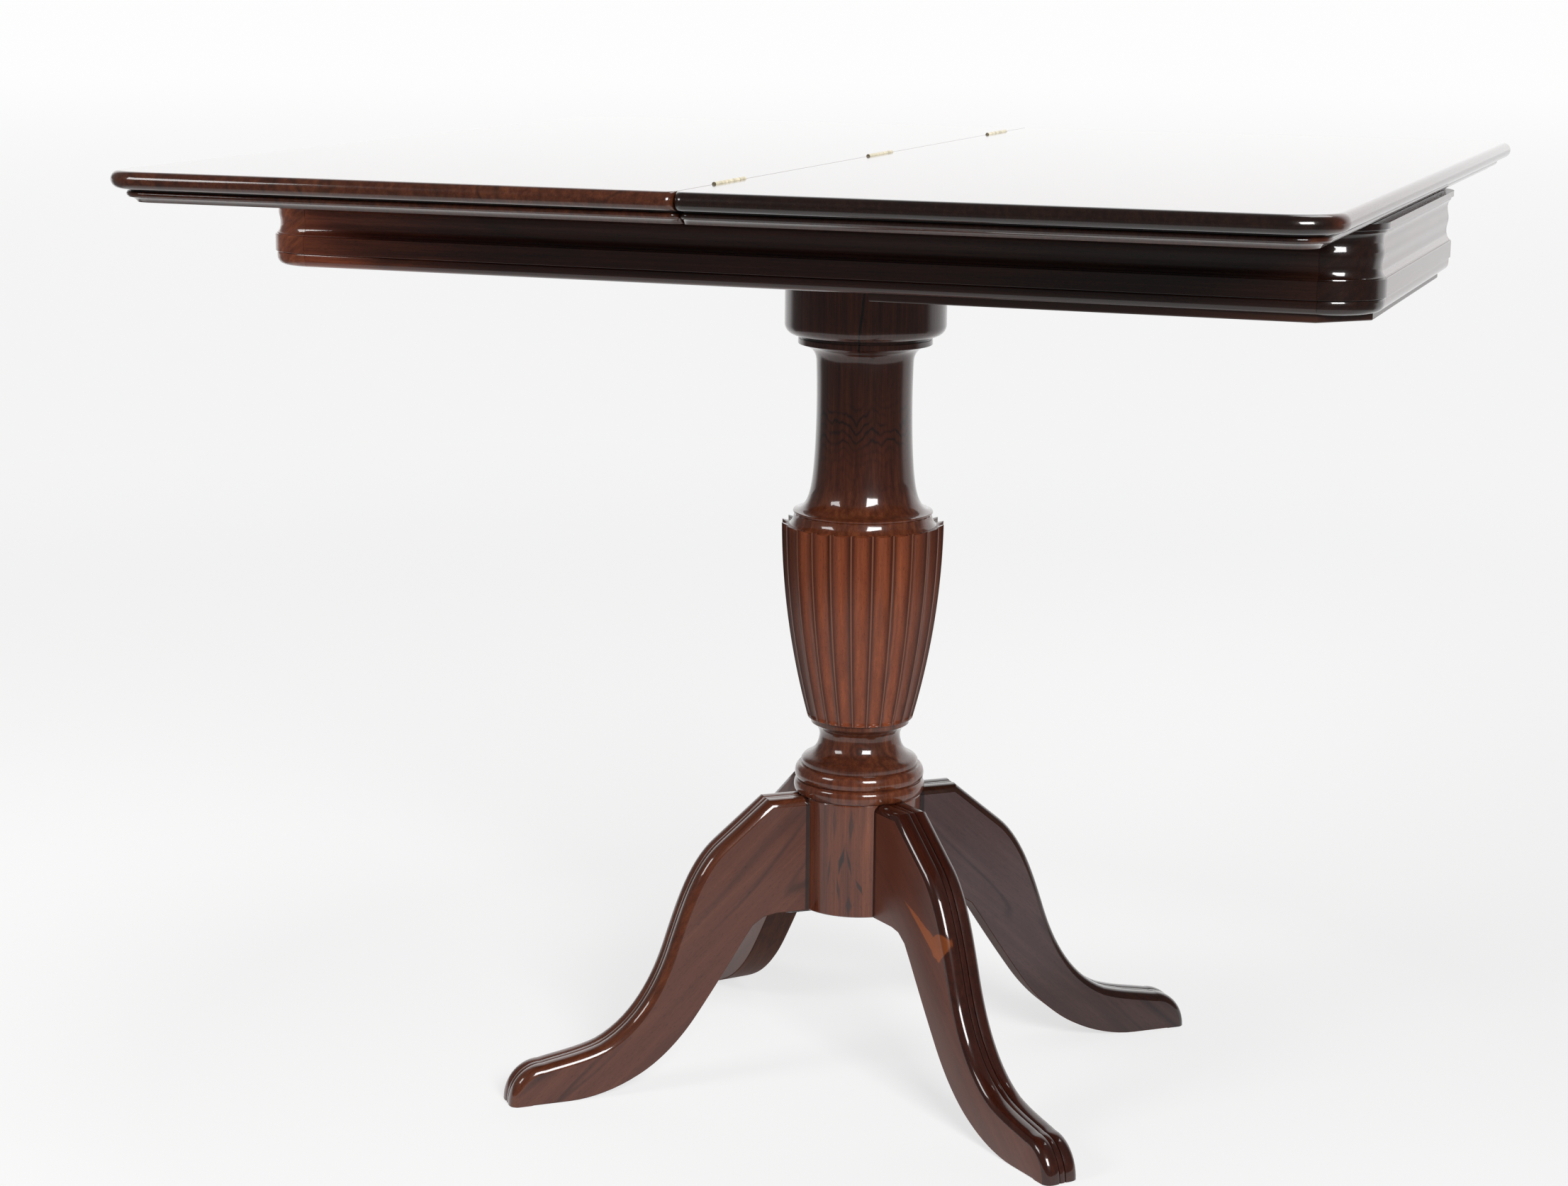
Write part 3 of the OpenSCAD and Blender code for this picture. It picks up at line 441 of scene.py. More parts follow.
class TABLE_OT_stage(bpy.types.Operator):
    """Sets up the camera, the lamps, the white surroundings and the floor"""
    bl_idname = "table.stage"
    bl_label = "Stage"

    def execute(self, context):
        self.camera(context)
        self.surroundings(context)
        self.floor()
        for lamp in LAMPS:
            self.lamp(*lamp)
        context.scene.view_settings.view_transform = "Standard"
        return {"FINISHED"}

    def camera(self, context):
        x, y, z = CAMERA_PLACE
        yaw, pitch, roll = (math.radians(a) for a in CAMERA_TURNS)
        ahead = Vector((math.sin(yaw) * math.cos(pitch), math.cos(yaw) * math.cos(pitch), -math.sin(pitch)))
        level = Vector((math.cos(yaw), -math.sin(yaw), 0))
        rise = level.cross(ahead)
        right = math.cos(roll) * level + math.sin(roll) * rise
        up = math.cos(roll) * rise - math.sin(roll) * level
        data = bpy.data.cameras.new("camera")
        data.sensor_width = 36
        data.lens = CAMERA_LENS
        camera = new_object("camera", data)
        camera.matrix_world = Matrix((
            (right.x, up.x, -ahead.x, x),
            (right.y, up.y, -ahead.y, AXIS_Y + y),
            (right.z, up.z, -ahead.z, z),
            (0, 0, 0, 1)))
        context.scene.camera = camera

    def lamp(self, name, distance, azimuth, elevation, size, power):
        a, e = math.radians(azimuth), math.radians(elevation)
        way = Vector((math.cos(a) * math.cos(e), math.sin(a) * math.cos(e), math.sin(e)))
        data = bpy.data.lights.new(name, "AREA")
        data.shape = "RECTANGLE"
        data.size, data.size_y = size
        data.energy = power
        lamp = new_object(name, data)
        lamp.location = Vector((0, AXIS_Y, LAMP_HEIGHT)) + distance * way
        lamp.rotation_euler = way.to_track_quat("Z", "Y").to_euler()
        lamp.visible_camera = False

    def surroundings(self, context):
        """White to the camera. To the table they are a white sweep behind it and a dim room before it."""
        world = bpy.data.worlds.new("surroundings")
        context.scene.world = world
        r = Recipe(world, "Background")
        rays = r.tree.nodes.new("ShaderNodeLightPath").outputs
        ways = r.add("TexCoord", out="Generated")
        behind = backwards(r, ways)
        below_top = r.smooth(r.axis(ways, "Z"), *SWEEP_TOP)
        sweep = r.times(r.smooth(behind, *BACKDROP_EDGE), below_top)
        light = r.linear(sweep, SWEEP_LIGHT, ROOM_LIGHT)
        light = r.times(light, r.linear(rays["Is Glossy Ray"], MIRRORED_GAIN, 1.0))
        light = r.linear(rays["Is Glossy Ray"], MIRRORED_HAZE, light)
        level = r.tree.nodes.new("ShaderNodeMix")
        r.feed(level.inputs[0], rays["Is Camera Ray"])
        r.feed(level.inputs[2], light)
        r.feed(level.inputs[3], SEEN_WHITE)
        r.surface(Color=(1, 1, 1, 1), Strength=level.outputs[0])

    def floor(self):
        """White paper that fades into the surroundings. The table mirrors only what lies close or behind."""
        bm = bmesh.new()
        bmesh.ops.create_circle(bm, cap_ends=True, radius=40, segments=96)
        mesh = bpy.data.meshes.new("floor")
        bm.to_mesh(mesh)
        bm.free()
        r = Recipe(bpy.data.materials.new("floor_paper"))
        coords = r.add("TexCoord", out="Object")
        far = r.measure("LENGTH", coords)
        away = r.smooth(far, 0.6, 3.4)
        near = r.times(r.smooth(far, 1.5, 1.0), r.smooth(r.axis(coords, "Y"), -1.15, -0.75))
        way = r.add("VectorMath", settings={"operation": "NORMALIZE"}, Vector=coords)
        paper = r.maths("MAXIMUM", near, r.smooth(backwards(r, way), *SWEEP_EDGE))
        rays = r.tree.nodes.new("ShaderNodeLightPath")
        seen = rays.outputs["Is Camera Ray"]
        ended = r.times(r.maths("SUBTRACT", 1.0, seen), r.maths("SUBTRACT", 1.0, paper))
        mirrored = r.times(rays.outputs["Is Glossy Ray"], paper)
        white = r.mix(r.maths("MAXIMUM", seen, mirrored), 0.8, 0.3)
        white = r.mix(away, white, 0.0)
        r.surface(Base_Color=r.mix(ended, white, 0.06))
        r.shader.inputs["Roughness"].default_value = 0.9
        r.shader.inputs["Specular IOR Level"].default_value = 0.0
        # Far out the paper takes no light and glows instead, and it glows a little more to the left
        glow = r.linear(r.maths("SQRT", away), 0.285, 0.62)
        glow = r.maths("ADD", glow, r.times(r.smooth(far, 5, 22), 0.08))
        left = r.times(r.smooth(r.axis(coords, "X"), 0.85, -0.3), r.smooth(far, 2.6, 0.6))
        glow = r.maths("ADD", glow, r.times(left, 0.09))
        glow = r.times(r.maths("MAXIMUM", seen, mirrored), glow)
        room = r.times(rays.outputs["Is Glossy Ray"], r.times(ended, 0.15))
        r.shader.inputs["Emission Color"].default_value = (1, 1, 1, 1)
        r.surface(Emission_Strength=r.maths("ADD", glow, room))
        mesh.materials.append(r.material)
        floor = new_object("floor", mesh)


# Pieces

def leaf_levels(top):
    """Set-back and height of each step of a leaf's moulded edge, in millimetres, from the underside up."""
    t, nose = top.thickness / MM, top.nose / MM
    low = t - nose
    bead_top, bead_low = low - 1.5, low - 6
    levels = [(24, 0), (19, 0)]
    bend(levels, (18, bead_low / 2), (14, bead_low), (12.2, bead_low), 6)
    levels += arc(13.25, bead_low + 2.25, 2.25, 236, 124, 8)
    levels += [(13.2, bead_top), (13.2, low + 0.1)]
    levels += arc(nose / 2, t - nose / 2, nose / 2, 268, 90, 20)
    levels += [(nose / 2 + 2, t)]
    return levels


def leaf_edge_painted_shade(r, coords, colour):
    """The front edge of the folding leaf is painted nearly black: painted shade."""
    edge = r.smooth(r.axis(coords, "Y"), LEAF_LOW.y + 0.022, LEAF_LOW.y + 0.008)
    return r.stain(edge, colour, (0.16, 0.2, 0.24))


class TABLE_OT_leaves(bpy.types.Operator):
    """Builds the two leaves of the top with their moulded edges"""
    bl_idname = "table.leaves"
    bl_label = "Leaves"

    def execute(self, context):
        top, looks = context.scene.table_top, context.scene.table_looks
        for name, side, body in (("folding", 1, "flap"), ("fixed", -1, "top")):
            bm = bmesh.new()
            rings = [self.ring(top, inset * MM, height * MM) for inset, height in leaf_levels(top)]
            loft(bm, rings)
            if side < 0:
                bmesh.ops.scale(bm, vec=(-1, 1, 1), verts=bm.verts)
            # The folding leaf's front edge gets painted shade
            material = wood(name + "_leaf_polish", looks, tint=0.5, figure=0.7,
                            paint=leaf_edge_painted_shade if side > 0 else None,
                            turn=(0, 0, QUARTER), shift=(side, 0.4, 0.1), gloss=0.09)
            finish_piece(bm, name + "_leaf_top", body, [name + "_leaf"], [material], sharp=40)
        return {"FINISHED"}

    def ring(self, top, inset, height):
        """Outline of the right-hand leaf at one height: the seam side is never set back."""
        x0, x1 = top.seam, LEAF_HIGH.x
        y = LEAF_HIGH.y - inset
        small, large = top.seam_corner, max(top.corner - inset, 0.002)
        points = []
        for x, sign, radius, start in ((x0, -1, small, 180), (x1 - inset, -1, large, 270),
                                       (x1 - inset, 1, large, 0), (x0, 1, small, 90)):
            cx = x + radius if x == x0 else x - radius
            steps = 7 if x == x0 else 22
            points += arc(cx, sign * (y - radius), radius, start, start + 90, steps)
        return [(px, py, LEAF_LOW.z + height) for px, py in points]


# How far the crown of the moulding stands out from the face of the frame
CROWN = 0.0003


def frame_outline(thickness):
    """Section of a rail, in millimetres: depth in from its face against height above its lower edge."""
    crown = -CROWN / MM
    points = [(thickness, 0), (8.2, 0)]
    bend(points, (4, 0), (1.2, 2.8), (1.2, 7), 12)
    points += [(1.2, 9.6), (1.45, 10.1), (2, 10.35), (2, 10.65), (0.3, 10.75), (0, 11), (0, 24.1),
               (0.3, 24.5), (1.25, 24.7), (1.4, 25.5)]
    bend(points, (3.2, 26.4), (4.2, 29.6), (4.2, 33), 10)
    bend(points, (4.2, 36.5), (2.95, 38.5), (2.95, 42), 8)
    bend(points, (2.95, 45.5), (4.1, 47.6), (4.1, 51), 8)
    bend(points, (4.1, 54.5), (2.6, 56.6), (1.6, 57.2), 8)
    points += [(1.6, 58.9), (1.4, 59.3), (0, 59.3), (crown, 59.6), (crown, 64), (thickness, 64)]
    return points


def rail_pale_wood_and_painted_light(r, coords, colour):
    """The front rail is lighter at its left end, partly paler wood and partly painted light where the top
    casts less shade, and painted nearly black at its right end as painted shade.
    """
    x = r.axis(coords, "X")
    # Lighter towards the left end: paler wood and painted light
    colour = r.stain(r.smooth(x, -0.22, -0.41), colour, (5.0, 5.4, 5.6))
    # Painted shade, nearly black, towards the right end
    return r.stain(r.smooth(x, 0.0, 0.32), colour, (0.38, 0.55, 0.7))


class TABLE_OT_rails(bpy.types.Operator):
    """Builds the four moulded rails of the frame"""
    bl_idname = "table.rails"
    bl_label = "Rails"

    def execute(self, context):
        settings, looks = context.scene.table_frame, context.scene.table_looks
        half_l, half_w = END_HIGH.x - CROWN, (END_HIGH.y - END_LOW.y) / 2 + settings.corner
        places = {"front": (0, half_w, (0.46, 0.36, 0.34)), "back": (180, half_w, 0.7),
                  "right": (90, half_l, 0.6), "left": (270, half_l, 0.9)}
        for name, (turn, reach, tint) in places.items():
            across = name in ("left", "right")
            run = 2 * ((half_w if across else half_l) - settings.corner)
            bm = bmesh.new()
            start = moulding(bm, frame_outline(settings.thickness / MM))
            made = bmesh.ops.extrude_face_region(bm, geom=[start])
            move(bm, (run, 0, 0), new_verts(made))
            move(bm, (-run / 2, -reach, FRAME_BASE))
            to_axis(bm, turn)
            bm.normal_update()
            soften_ends(bm)
            grain = (0, 0, QUARTER) if across else (0, 0, 0)
            material = wood(name + "_rail_polish", looks, tint=tint, turn=grain,
                            shift=(0.3, reach, 0.7), gloss=0.07, figure=0.6,
                            paint=rail_pale_wood_and_painted_light if name == "front" else None)
            finish_piece(bm, name + "_rail_moulding", "base", [name + "_rail"], [material], sharp=28)
        return {"FINISHED"}


class TABLE_OT_corners(bpy.types.Operator):
    """Builds the four curved corner pieces of the frame"""
    bl_idname = "table.corners"
    bl_label = "Frame corners"

    def execute(self, context):
        settings, looks = context.scene.table_frame, context.scene.table_looks
        x = END_HIGH.x - CROWN - settings.corner
        y = (END_HIGH.y - END_LOW.y) / 2
        # The tints paint light and shade: the front-left corner is painted lighter as if lit, the front-right
        # one nearly black as painted shade
        for name, sx, sy, tint in (("front_left", -1, -1, 2.3), ("front_right", 1, -1, 0.1),
                                   ("back_left", -1, 1, 1.2), ("back_right", 1, 1, 1.0)):
            bm = bmesh.new()
            start = moulding(bm, frame_outline(settings.thickness / MM))
            move(bm, (0, -settings.corner, FRAME_BASE))
            bmesh.ops.spin(bm, geom=[start] + start.edges[:] + start.verts[:], cent=(0, 0, 0), axis=(0, 0, 1),
                           angle=QUARTER, steps=24, use_merge=False, use_duplicate=False)
            move(bm, (x, -y, 0))
            bmesh.ops.scale(bm, vec=(sx, -sy, 1), verts=bm.verts)
            to_axis(bm)
            soften_ends(bm)
            material = wood(name + "_corner_polish", looks, tint=tint, turn=(0, math.radians(-35), 0),
                            shift=(sx * 0.2, sy * 0.5, 0.3), gloss=0.07)
            finish_piece(bm, name + "_corner_moulding", "base", ["corner_" + name], [material], sharp=28)
        return {"FINISHED"}


# Levels of the vase, the height over which it swells, and the heights of drum and tenon, in millimetres
VASE_FOOT, VASE_TOP = 301, 464
VASE_SWELL = 162
DRUM = 55
TENON = 30

# Between these levels, in metres, the column has the vase's own polish
VASE_POLISH = (0.3011, 0.4628)

# Flutes: pitch, turn and half width in degrees, level where they start and rise to their full width
FLUTE_PITCH = 15.0
FLUTE_START = 3.0
FLUTE_HALF = 7.1
FLUTE_RISE = (302.2, 2.6)

# Steps of the spin, and the last of them that lies inside a flute, in degrees from its middle
COLUMN_STEPS = 288
INSIDE_STEP = 6.25


def vase_share(height):
    """0 at the foot of the vase and 1 near its top, from a level in millimetres."""
    return (height - VASE_FOOT) / VASE_SWELL


def vase_radius(height):
    """Radius of the vase at a height, in millimetres: a line that swells outwards."""
    t = vase_share(height)
    return 43.5 + 23 * t + 5.3 * 4 * t * (1 - t)


def column_outline():
    """Radius and height of the turned outline, in millimetres, from the foot to the tenon."""
    frame_z = FRAME_BASE / MM
    drum = frame_z - DRUM
    points = [(0, 142), (30, 142), (50.8, 142), (51.5, 142.7), (51.5, 190), (51.5, 236), (50.9, 237),
              (51, 237.2)]
    bend(points, (55.2, 237.6), (55.2, 248.2), (51.2, 248.6), 12)
    points += [(50.9, 249)]
    bend(points, (54.8, 249.6), (54.2, 258.6), (50.2, 261), 12)
    points += [(48.2, 261.2), (48.3, 261.8), (48.1, 265.2), (47.6, 265.8)]
    bend(points, (45.6, 270), (34.8, 269.2), (33.4, 285), 16)
    bend(points, (33.0, 290), (36.4, 294.2), (40.2, 296.2), 8)
    points += [(40.6, 296.6), (40.6, 300.4), (vase_radius(VASE_FOOT) - 0.15, VASE_FOOT)]
    rows = [301.6, 302.4, 303, 303.6, 304.6, 306, 308] + [312 + 6 * i for i in range(25)]
    rows += [459, 461.2, VASE_TOP]
    points += [(vase_radius(z), z) for z in rows]
    bend(points, (59.6, 461.6), (57.2, 466.0), (56.3, 471.2), 10, start=(62.6, 462.1))
    points += [(56.6, 472.0), (57.1, 472.6), (57.2, 473.3), (56.8, 474), (55.8, 474.2)]
    bend(points, (45.6, 476.2), (42.2, 487), (40.2, 519), 18)
    bend(points, (38.9, 540), (38.4, drum - 48), (39.5, drum - 21), 14)
    bend(points, (39.9, drum - 15.5), (42.5, drum - 10.4), (50.5, drum - 8), 12)
    points += [(54.2, drum - 7.2), (54.5, drum - 6.9), (54.5, drum - 2.8), (54.2, drum - 2.5),
               (52.5, drum - 2.5), (52.5, drum), (55.5, drum)]
    points += arc(56.5, drum + 9, 9, 270, 360, 12)
    points += [(65.5, frame_z), (24, frame_z), (24, frame_z + TENON), (0, frame_z + TENON)]
    return points


BLOCK_RADIUS = 0.0515

# Dark streaks in the block: turn in degrees, height, half width, half length, lean and strength
BLOCK_STREAKS = ((-87.4, 0.190, 0.0019, 0.017, 0.17, 0.9), (-90.0, 0.165, 0.0012, 0.016, -0.08, 0.7),
                 (-80.2, 0.189, 0.0012, 0.016, -0.24, 0.8), (-98.8, 0.180, 0.0012, 0.020, 0.09, 0.6),
                 (-71.0, 0.168, 0.0018, 0.009, -0.43, 0.8), (-79.5, 0.152, 0.0020, 0.012, 0.0, 0.7),
                 (-94.0, 0.222, 0.0020, 0.020, 0.0, 0.45), (-79.0, 0.220, 0.0020, 0.020, 0.05, 0.6))

# The knot: turn in degrees, height, radius of the bell there, half width and half height
KNOT = (-71, 0.279, 0.04, 0.012, 0.009)


def column_angle(r, coords):
    """Angle of a point round the column, in radians."""
    return r.maths("ARCTAN2", r.maths("SUBTRACT", r.axis(coords, "Y"), AXIS_Y), r.axis(coords, "X"))


def column_figure_and_painted_shade(r, coords, colour):
    """Painted shade above the vase along with darker wood there, a darker bell, a zigzag figure, a crack,
    dark streaks and a knot.
    """
    z, angle = r.axis(coords, "Z"), column_angle(r, coords)
    # Darker above the vase: painted shade from the top, with darker wood
    colour = r.stain(r.smooth(z, 0.474, 0.50), colour, (0.52, 0.48, 0.5))

    # Zigzag lines round the shaft, strong in one zone and broken into patches
    wander = r.noise(coords, (0.014, 0.014, 0.05), detail=2.5)
    zigzag = r.times(r.maths("PINGPONG", r.times(angle, 0.039), 0.011), 64.0)
    height = r.maths("ADD", r.linear(z, 118.0, zigzag), r.times(wander, 4.0))
    lines = r.maths("POWER", r.stripes(r.times(height, math.tau)), 3.0)
    zone = r.times(r.smooth(z, 0.524, 0.540), r.smooth(z, 0.568, 0.553))
    zone = r.linear(zone, 0.65, r.times(r.smooth(z, 0.60, 0.56), 0.2))
    zone = r.times(zone, r.smooth(z, 0.478, 0.50))
    patch = r.smooth(r.noise(coords, (0.03, 0.03, 0.02), shift=(0.5, 0, 0), detail=1.0), 0.3, 0.5)
    colour = r.mix(r.times(lines, zone, patch), colour, (0.008, 0.004, 0.004))

    # Crack that leans as it climbs to the drum
    line = r.linear(z, 1.55, -2.31)
    gap = r.maths("ABSOLUTE", r.maths("SUBTRACT", angle, r.maths("ADD", line, r.times(wander, 0.03))))
    crack = r.times(r.smooth(gap, 0.02, 0.008), r.smooth(z, 0.592, 0.612))
    colour = r.mix(r.times(crack, 0.95), colour, (0.002, 0.001, 0.001))

    for turn, middle, width, tall, lean, strength in BLOCK_STREAKS:
        level = r.maths("SUBTRACT", z, middle)
        across = r.times(r.maths("SUBTRACT", angle, math.radians(turn)), BLOCK_RADIUS)
        across = r.times(r.linear(level, -lean, across), 0.7 / width)
        streak = r.spot(across, r.times(level, 1 / tall), r.linear(wander, 2.0, -1.0))
        colour = r.mix(r.times(streak, strength), colour, (0.010, 0.006, 0.006))

    # The bell, and the knot's rings in it
    bell = r.times(r.smooth(z, 0.258, 0.264), r.smooth(z, 0.301, 0.297))
    # Darker in the bell
    colour = r.stain(bell, colour, (0.68, 0.7, 0.75))
    turn, middle, radius, width, tall = KNOT
    across = r.times(r.maths("SUBTRACT", angle, math.radians(turn)), radius / width)
    along = r.times(r.maths("SUBTRACT", z, middle), 1 / tall)
    away = r.maths("SQRT", r.total((across, across), (along, along)))
    rings = r.stripes(r.times(r.maths("ADD", away, wander), 11.0))
    knot = r.times(rings, r.smooth(away, 1.3, 0.5))
    return r.mix(r.times(knot, 0.6), colour, (0.015, 0.006, 0.005))


def vase_painted_shade_and_highlight(r, coords, colour):
    """Painted shade at the sides of the vase and across the flutes, darkest beside their edges, and a painted
    highlight along each edge between two flutes.
    """
    angle = column_angle(r, coords)
    half = math.radians(FLUTE_PITCH / 2)
    off = r.maths("PINGPONG", r.maths("SUBTRACT", angle, math.radians(FLUTE_START)), half)

    def beside_edge(start, end):
        """0 and 1 at two distances from the edge between two flutes, in degrees."""
        return r.smooth(off, math.radians(FLUTE_PITCH / 2 - start), math.radians(FLUTE_PITCH / 2 - end))

    # Painted shade on the sides of the vase, away from its front
    from_front = r.maths("ABSOLUTE", r.maths("ADD", angle, math.radians(77)))
    side = r.smooth(from_front, math.radians(38), math.radians(60))
    colour = r.stain(side, colour, (0.62, 0.64, 0.7))
    # Painted shade across each flute, darkest beside its edges
    colour = r.stain(beside_edge(5.5, 0.8), colour, (0.5, 0.46, 0.46))
    colour = r.stain(r.times(beside_edge(2.6, 1.2), 0.7), colour, (0.5, 0.45, 0.45))
    # A painted highlight along each edge between two flutes
    return r.mix(r.times(beside_edge(0.7, 0.4), 0.6), colour, (0.26, 0.10, 0.055))


class TABLE_OT_column(bpy.types.Operator):
    """Turns the column and cuts the flutes in its vase"""
    bl_idname = "table.column"
    bl_label = "Column"

    def execute(self, context):
        settings, looks = context.scene.table_column, context.scene.table_looks
        bm = bmesh.new()
        verts = [bm.verts.new((r * MM, 0, z * MM)) for r, z in column_outline()]
        edges = [bm.edges.new(pair) for pair in zip(verts, verts[1:])]
        bmesh.ops.spin(bm, geom=verts + edges, cent=(0, 0, 0), axis=(0, 0, 1), angle=math.tau,
                       steps=COLUMN_STEPS, use_merge=True, use_duplicate=False)
        bmesh.ops.remove_doubles(bm, verts=bm.verts, dist=SAME)
        self.flutes(bm, settings)
        to_axis(bm, FLUTE_START)
        low, high = VASE_POLISH
        for face in bm.faces:
            face.material_index = int(low < face.calc_center_median().z < high)
        grain = {"turn": (0, -QUARTER, 0), "shift": (0.2, 0.05, 0.11)}
        polish = wood("column_polish", looks, tint=1.0, gloss=0.07, figure=0.6, paint=column_figure_and_painted_shade, **grain)
        satin = wood("vase_polish", looks, tint=(1.62, 1.52, 1.38), gloss=0.2, rough=0.4, figure=0.2,
                     contrast=0.5, coat=0.5, paint=vase_painted_shade_and_highlight, **grain)
        finish_piece(bm, "column_turned", "base", ["column"], [polish, satin], sharp=20)
        return {"FINISHED"}

    def flutes(self, bm, settings):
        """Moves the vase's outer vertices in to the round bottoms of the flutes."""
        for v in bm.verts:
            z = v.co.z / MM
            if not VASE_FOOT - 0.1 < z < VASE_TOP + 0.1:
                continue
            radius = math.hypot(v.co.x, v.co.y)
            if radius < vase_radius(z) * MM - 0.0006:
                continue
            angle = math.degrees(math.atan2(v.co.y, v.co.x))
            middle = round(angle / FLUTE_PITCH) * FLUTE_PITCH
            off = angle - middle
            share = min(max((z - FLUTE_RISE[0]) / FLUTE_RISE[1], 0), 1)
            width = math.sqrt(1 - (1 - share) ** 2)
            if width == 0:
                continue
            deeper = (settings.flute_depth - settings.flute_foot) * vase_share(z)
            depth = (settings.flute_foot + deeper) * width
            reach = FLUTE_HALF * width
            if abs(off) < FLUTE_PITCH / 2 - 0.5:
                off *= reach / INSIDE_STEP
            inside = settings.flute_radius
            half = math.radians(abs(off))
            centre = radius + inside - depth
            cut = centre * math.sin(half)
            level = centre * math.cos(half) - math.sqrt(max(inside ** 2 - cut ** 2, 0))
            new = min(radius, level) if abs(off) <= reach + 0.01 else radius
            a = math.radians(middle + off)
            v.co.x, v.co.y = new * math.cos(a), new * math.sin(a)
            if z > VASE_TOP - 0.1:
                # The upper end of a flute is cut at a slant
                v.co.z -= 0.5 * (radius - new)


# Each leg's turn in degrees, tint of its sides and tint of its moulding. The tints differ from leg to leg as
# painted light and shade, and the bluish side tints are partly dull, dusty polish and partly a painted grey
# sheen
LEGS = {"front": (-40, (0.85, 0.84, 0.98), (0.27, 0.2, 0.21)),
        "back": (140, (1.1, 1.5, 2.2), 0.5),
        "left": (220, (0.8, 1.05, 1.6), 0.75),
        "right": (40, (0.52, 1.1, 2.6), 0.2)}

# Point of its path where a leg's level top turns down, radius on which it ends in the block, and breadth of
# its lower broken edges, in millimetres
LEG_KINK = 3
LEG_END = 51.2
LEG_EDGE = 0.8

# Point of the pale wedge on the front leg, as distance from the column's axis and height, and the way it runs
WEDGE_POINT = (0.1084, 0.1656)
WEDGE_WAY = (0.808, -0.59)


def leg_path():
    """Upper and lower edge of a leg, point by point: distance from the column's axis, and height."""
    upper = [(51.5, 238), (62, 238), (72, 238), (83, 238), (96.3, 227), (109.6, 216), (123, 205)]
    lower = [(51.5, 142), (60, 142), (69, 142), (77.5, 142)]
    bend(lower, (89.5, 142), (98.5, 137), (107.5, 120), 3)
    bend(upper, (146, 187), (157, 152), (166, 126), 14)
    bend(lower, (118.5, 103), (133, 81), (148, 60), 14)
    bend(upper, (174, 101), (190, 60), (227, 43), 16)
    bend(lower, (161, 42), (178, 25), (198, 15), 16)
    bend(upper, (243, 37), (262, 35), (276, 32), 8)
    bend(lower, (215, 6), (236, 0), (256, 0), 8)
    upper += [(276 + 29 * math.sin(math.radians(a)), 32 * math.cos(math.radians(a))) for a in range(6, 91, 6)]
    lower += [(256 + 32 * i / 15, 0) for i in range(1, len(upper) - len(lower) + 1)]
    return upper, lower


def leg_marks(turn, sapwood, dark_toe):
    """Marks of a leg: a dark joint at the block, a dark toe, and a wedge of pale sapwood."""
    def paint(r, coords, colour):
        x, y, z = (r.axis(coords, name) for name in "XYZ")
        y = r.maths("SUBTRACT", y, AXIS_Y)
        out = r.total((x, math.cos(turn)), (y, math.sin(turn)))
        joint = r.smooth(out, 0.0531, 0.0522)
        colour = r.mix(r.times(joint, 0.8), colour, (0.006, 0.003, 0.003))
        if dark_toe:
            colour = r.stain(r.smooth(z, 0.09, 0.035), colour, (0.66, 0.56, 0.5))
        if sapwood:
            over = r.total((y, math.cos(turn)), (x, -math.sin(turn)))
            pale = r.mix(1.0, colour, (3.0, 2.6, 1.4), blend="MULTIPLY")
            pale = r.mix(0.45, pale, (0.25, 0.07, 0.014))
            colour = r.mix(sapwood_wedge(r, coords, out, over, z), colour, pale)
        return colour
    return paint


def sapwood_wedge(r, coords, out, over, z):
    """1 in the pale wedge. Out is the distance from the column's axis, over the one from the leg's middle."""
    wander = r.linear(r.noise(coords, (0.01, 0.01, 0.01), detail=2.0), 0.003, -0.0015)
    across, up = r.maths("SUBTRACT", out, WEDGE_POINT[0]), r.maths("SUBTRACT", z, WEDGE_POINT[1])
    run, rise = WEDGE_WAY
    along = r.total((across, run), (up, rise))
    side = r.maths("ADD", r.total((across, -rise), (up, run)), wander)
    edge = r.maths("SUBTRACT", r.times(along, 0.24), side)
    wedge = r.times(r.smooth(side, -0.0032, -0.002), r.smooth(edge, -0.0008, 0.0004))
    wedge = r.times(wedge, r.smooth(along, 0.0535, 0.052))
    # Its round end, only on the leg's nearer side
    end = r.add("CombineXYZ", X=r.linear(along, 1 / 0.010, -4.4),
                Y=r.linear(side, 1 / 0.012, -0.6))
    end = r.times(r.smooth(r.measure("LENGTH", end), 1.0, 0.88), r.smooth(over, -0.0072, -0.0082))
    return r.maths("MAXIMUM", wedge, end)


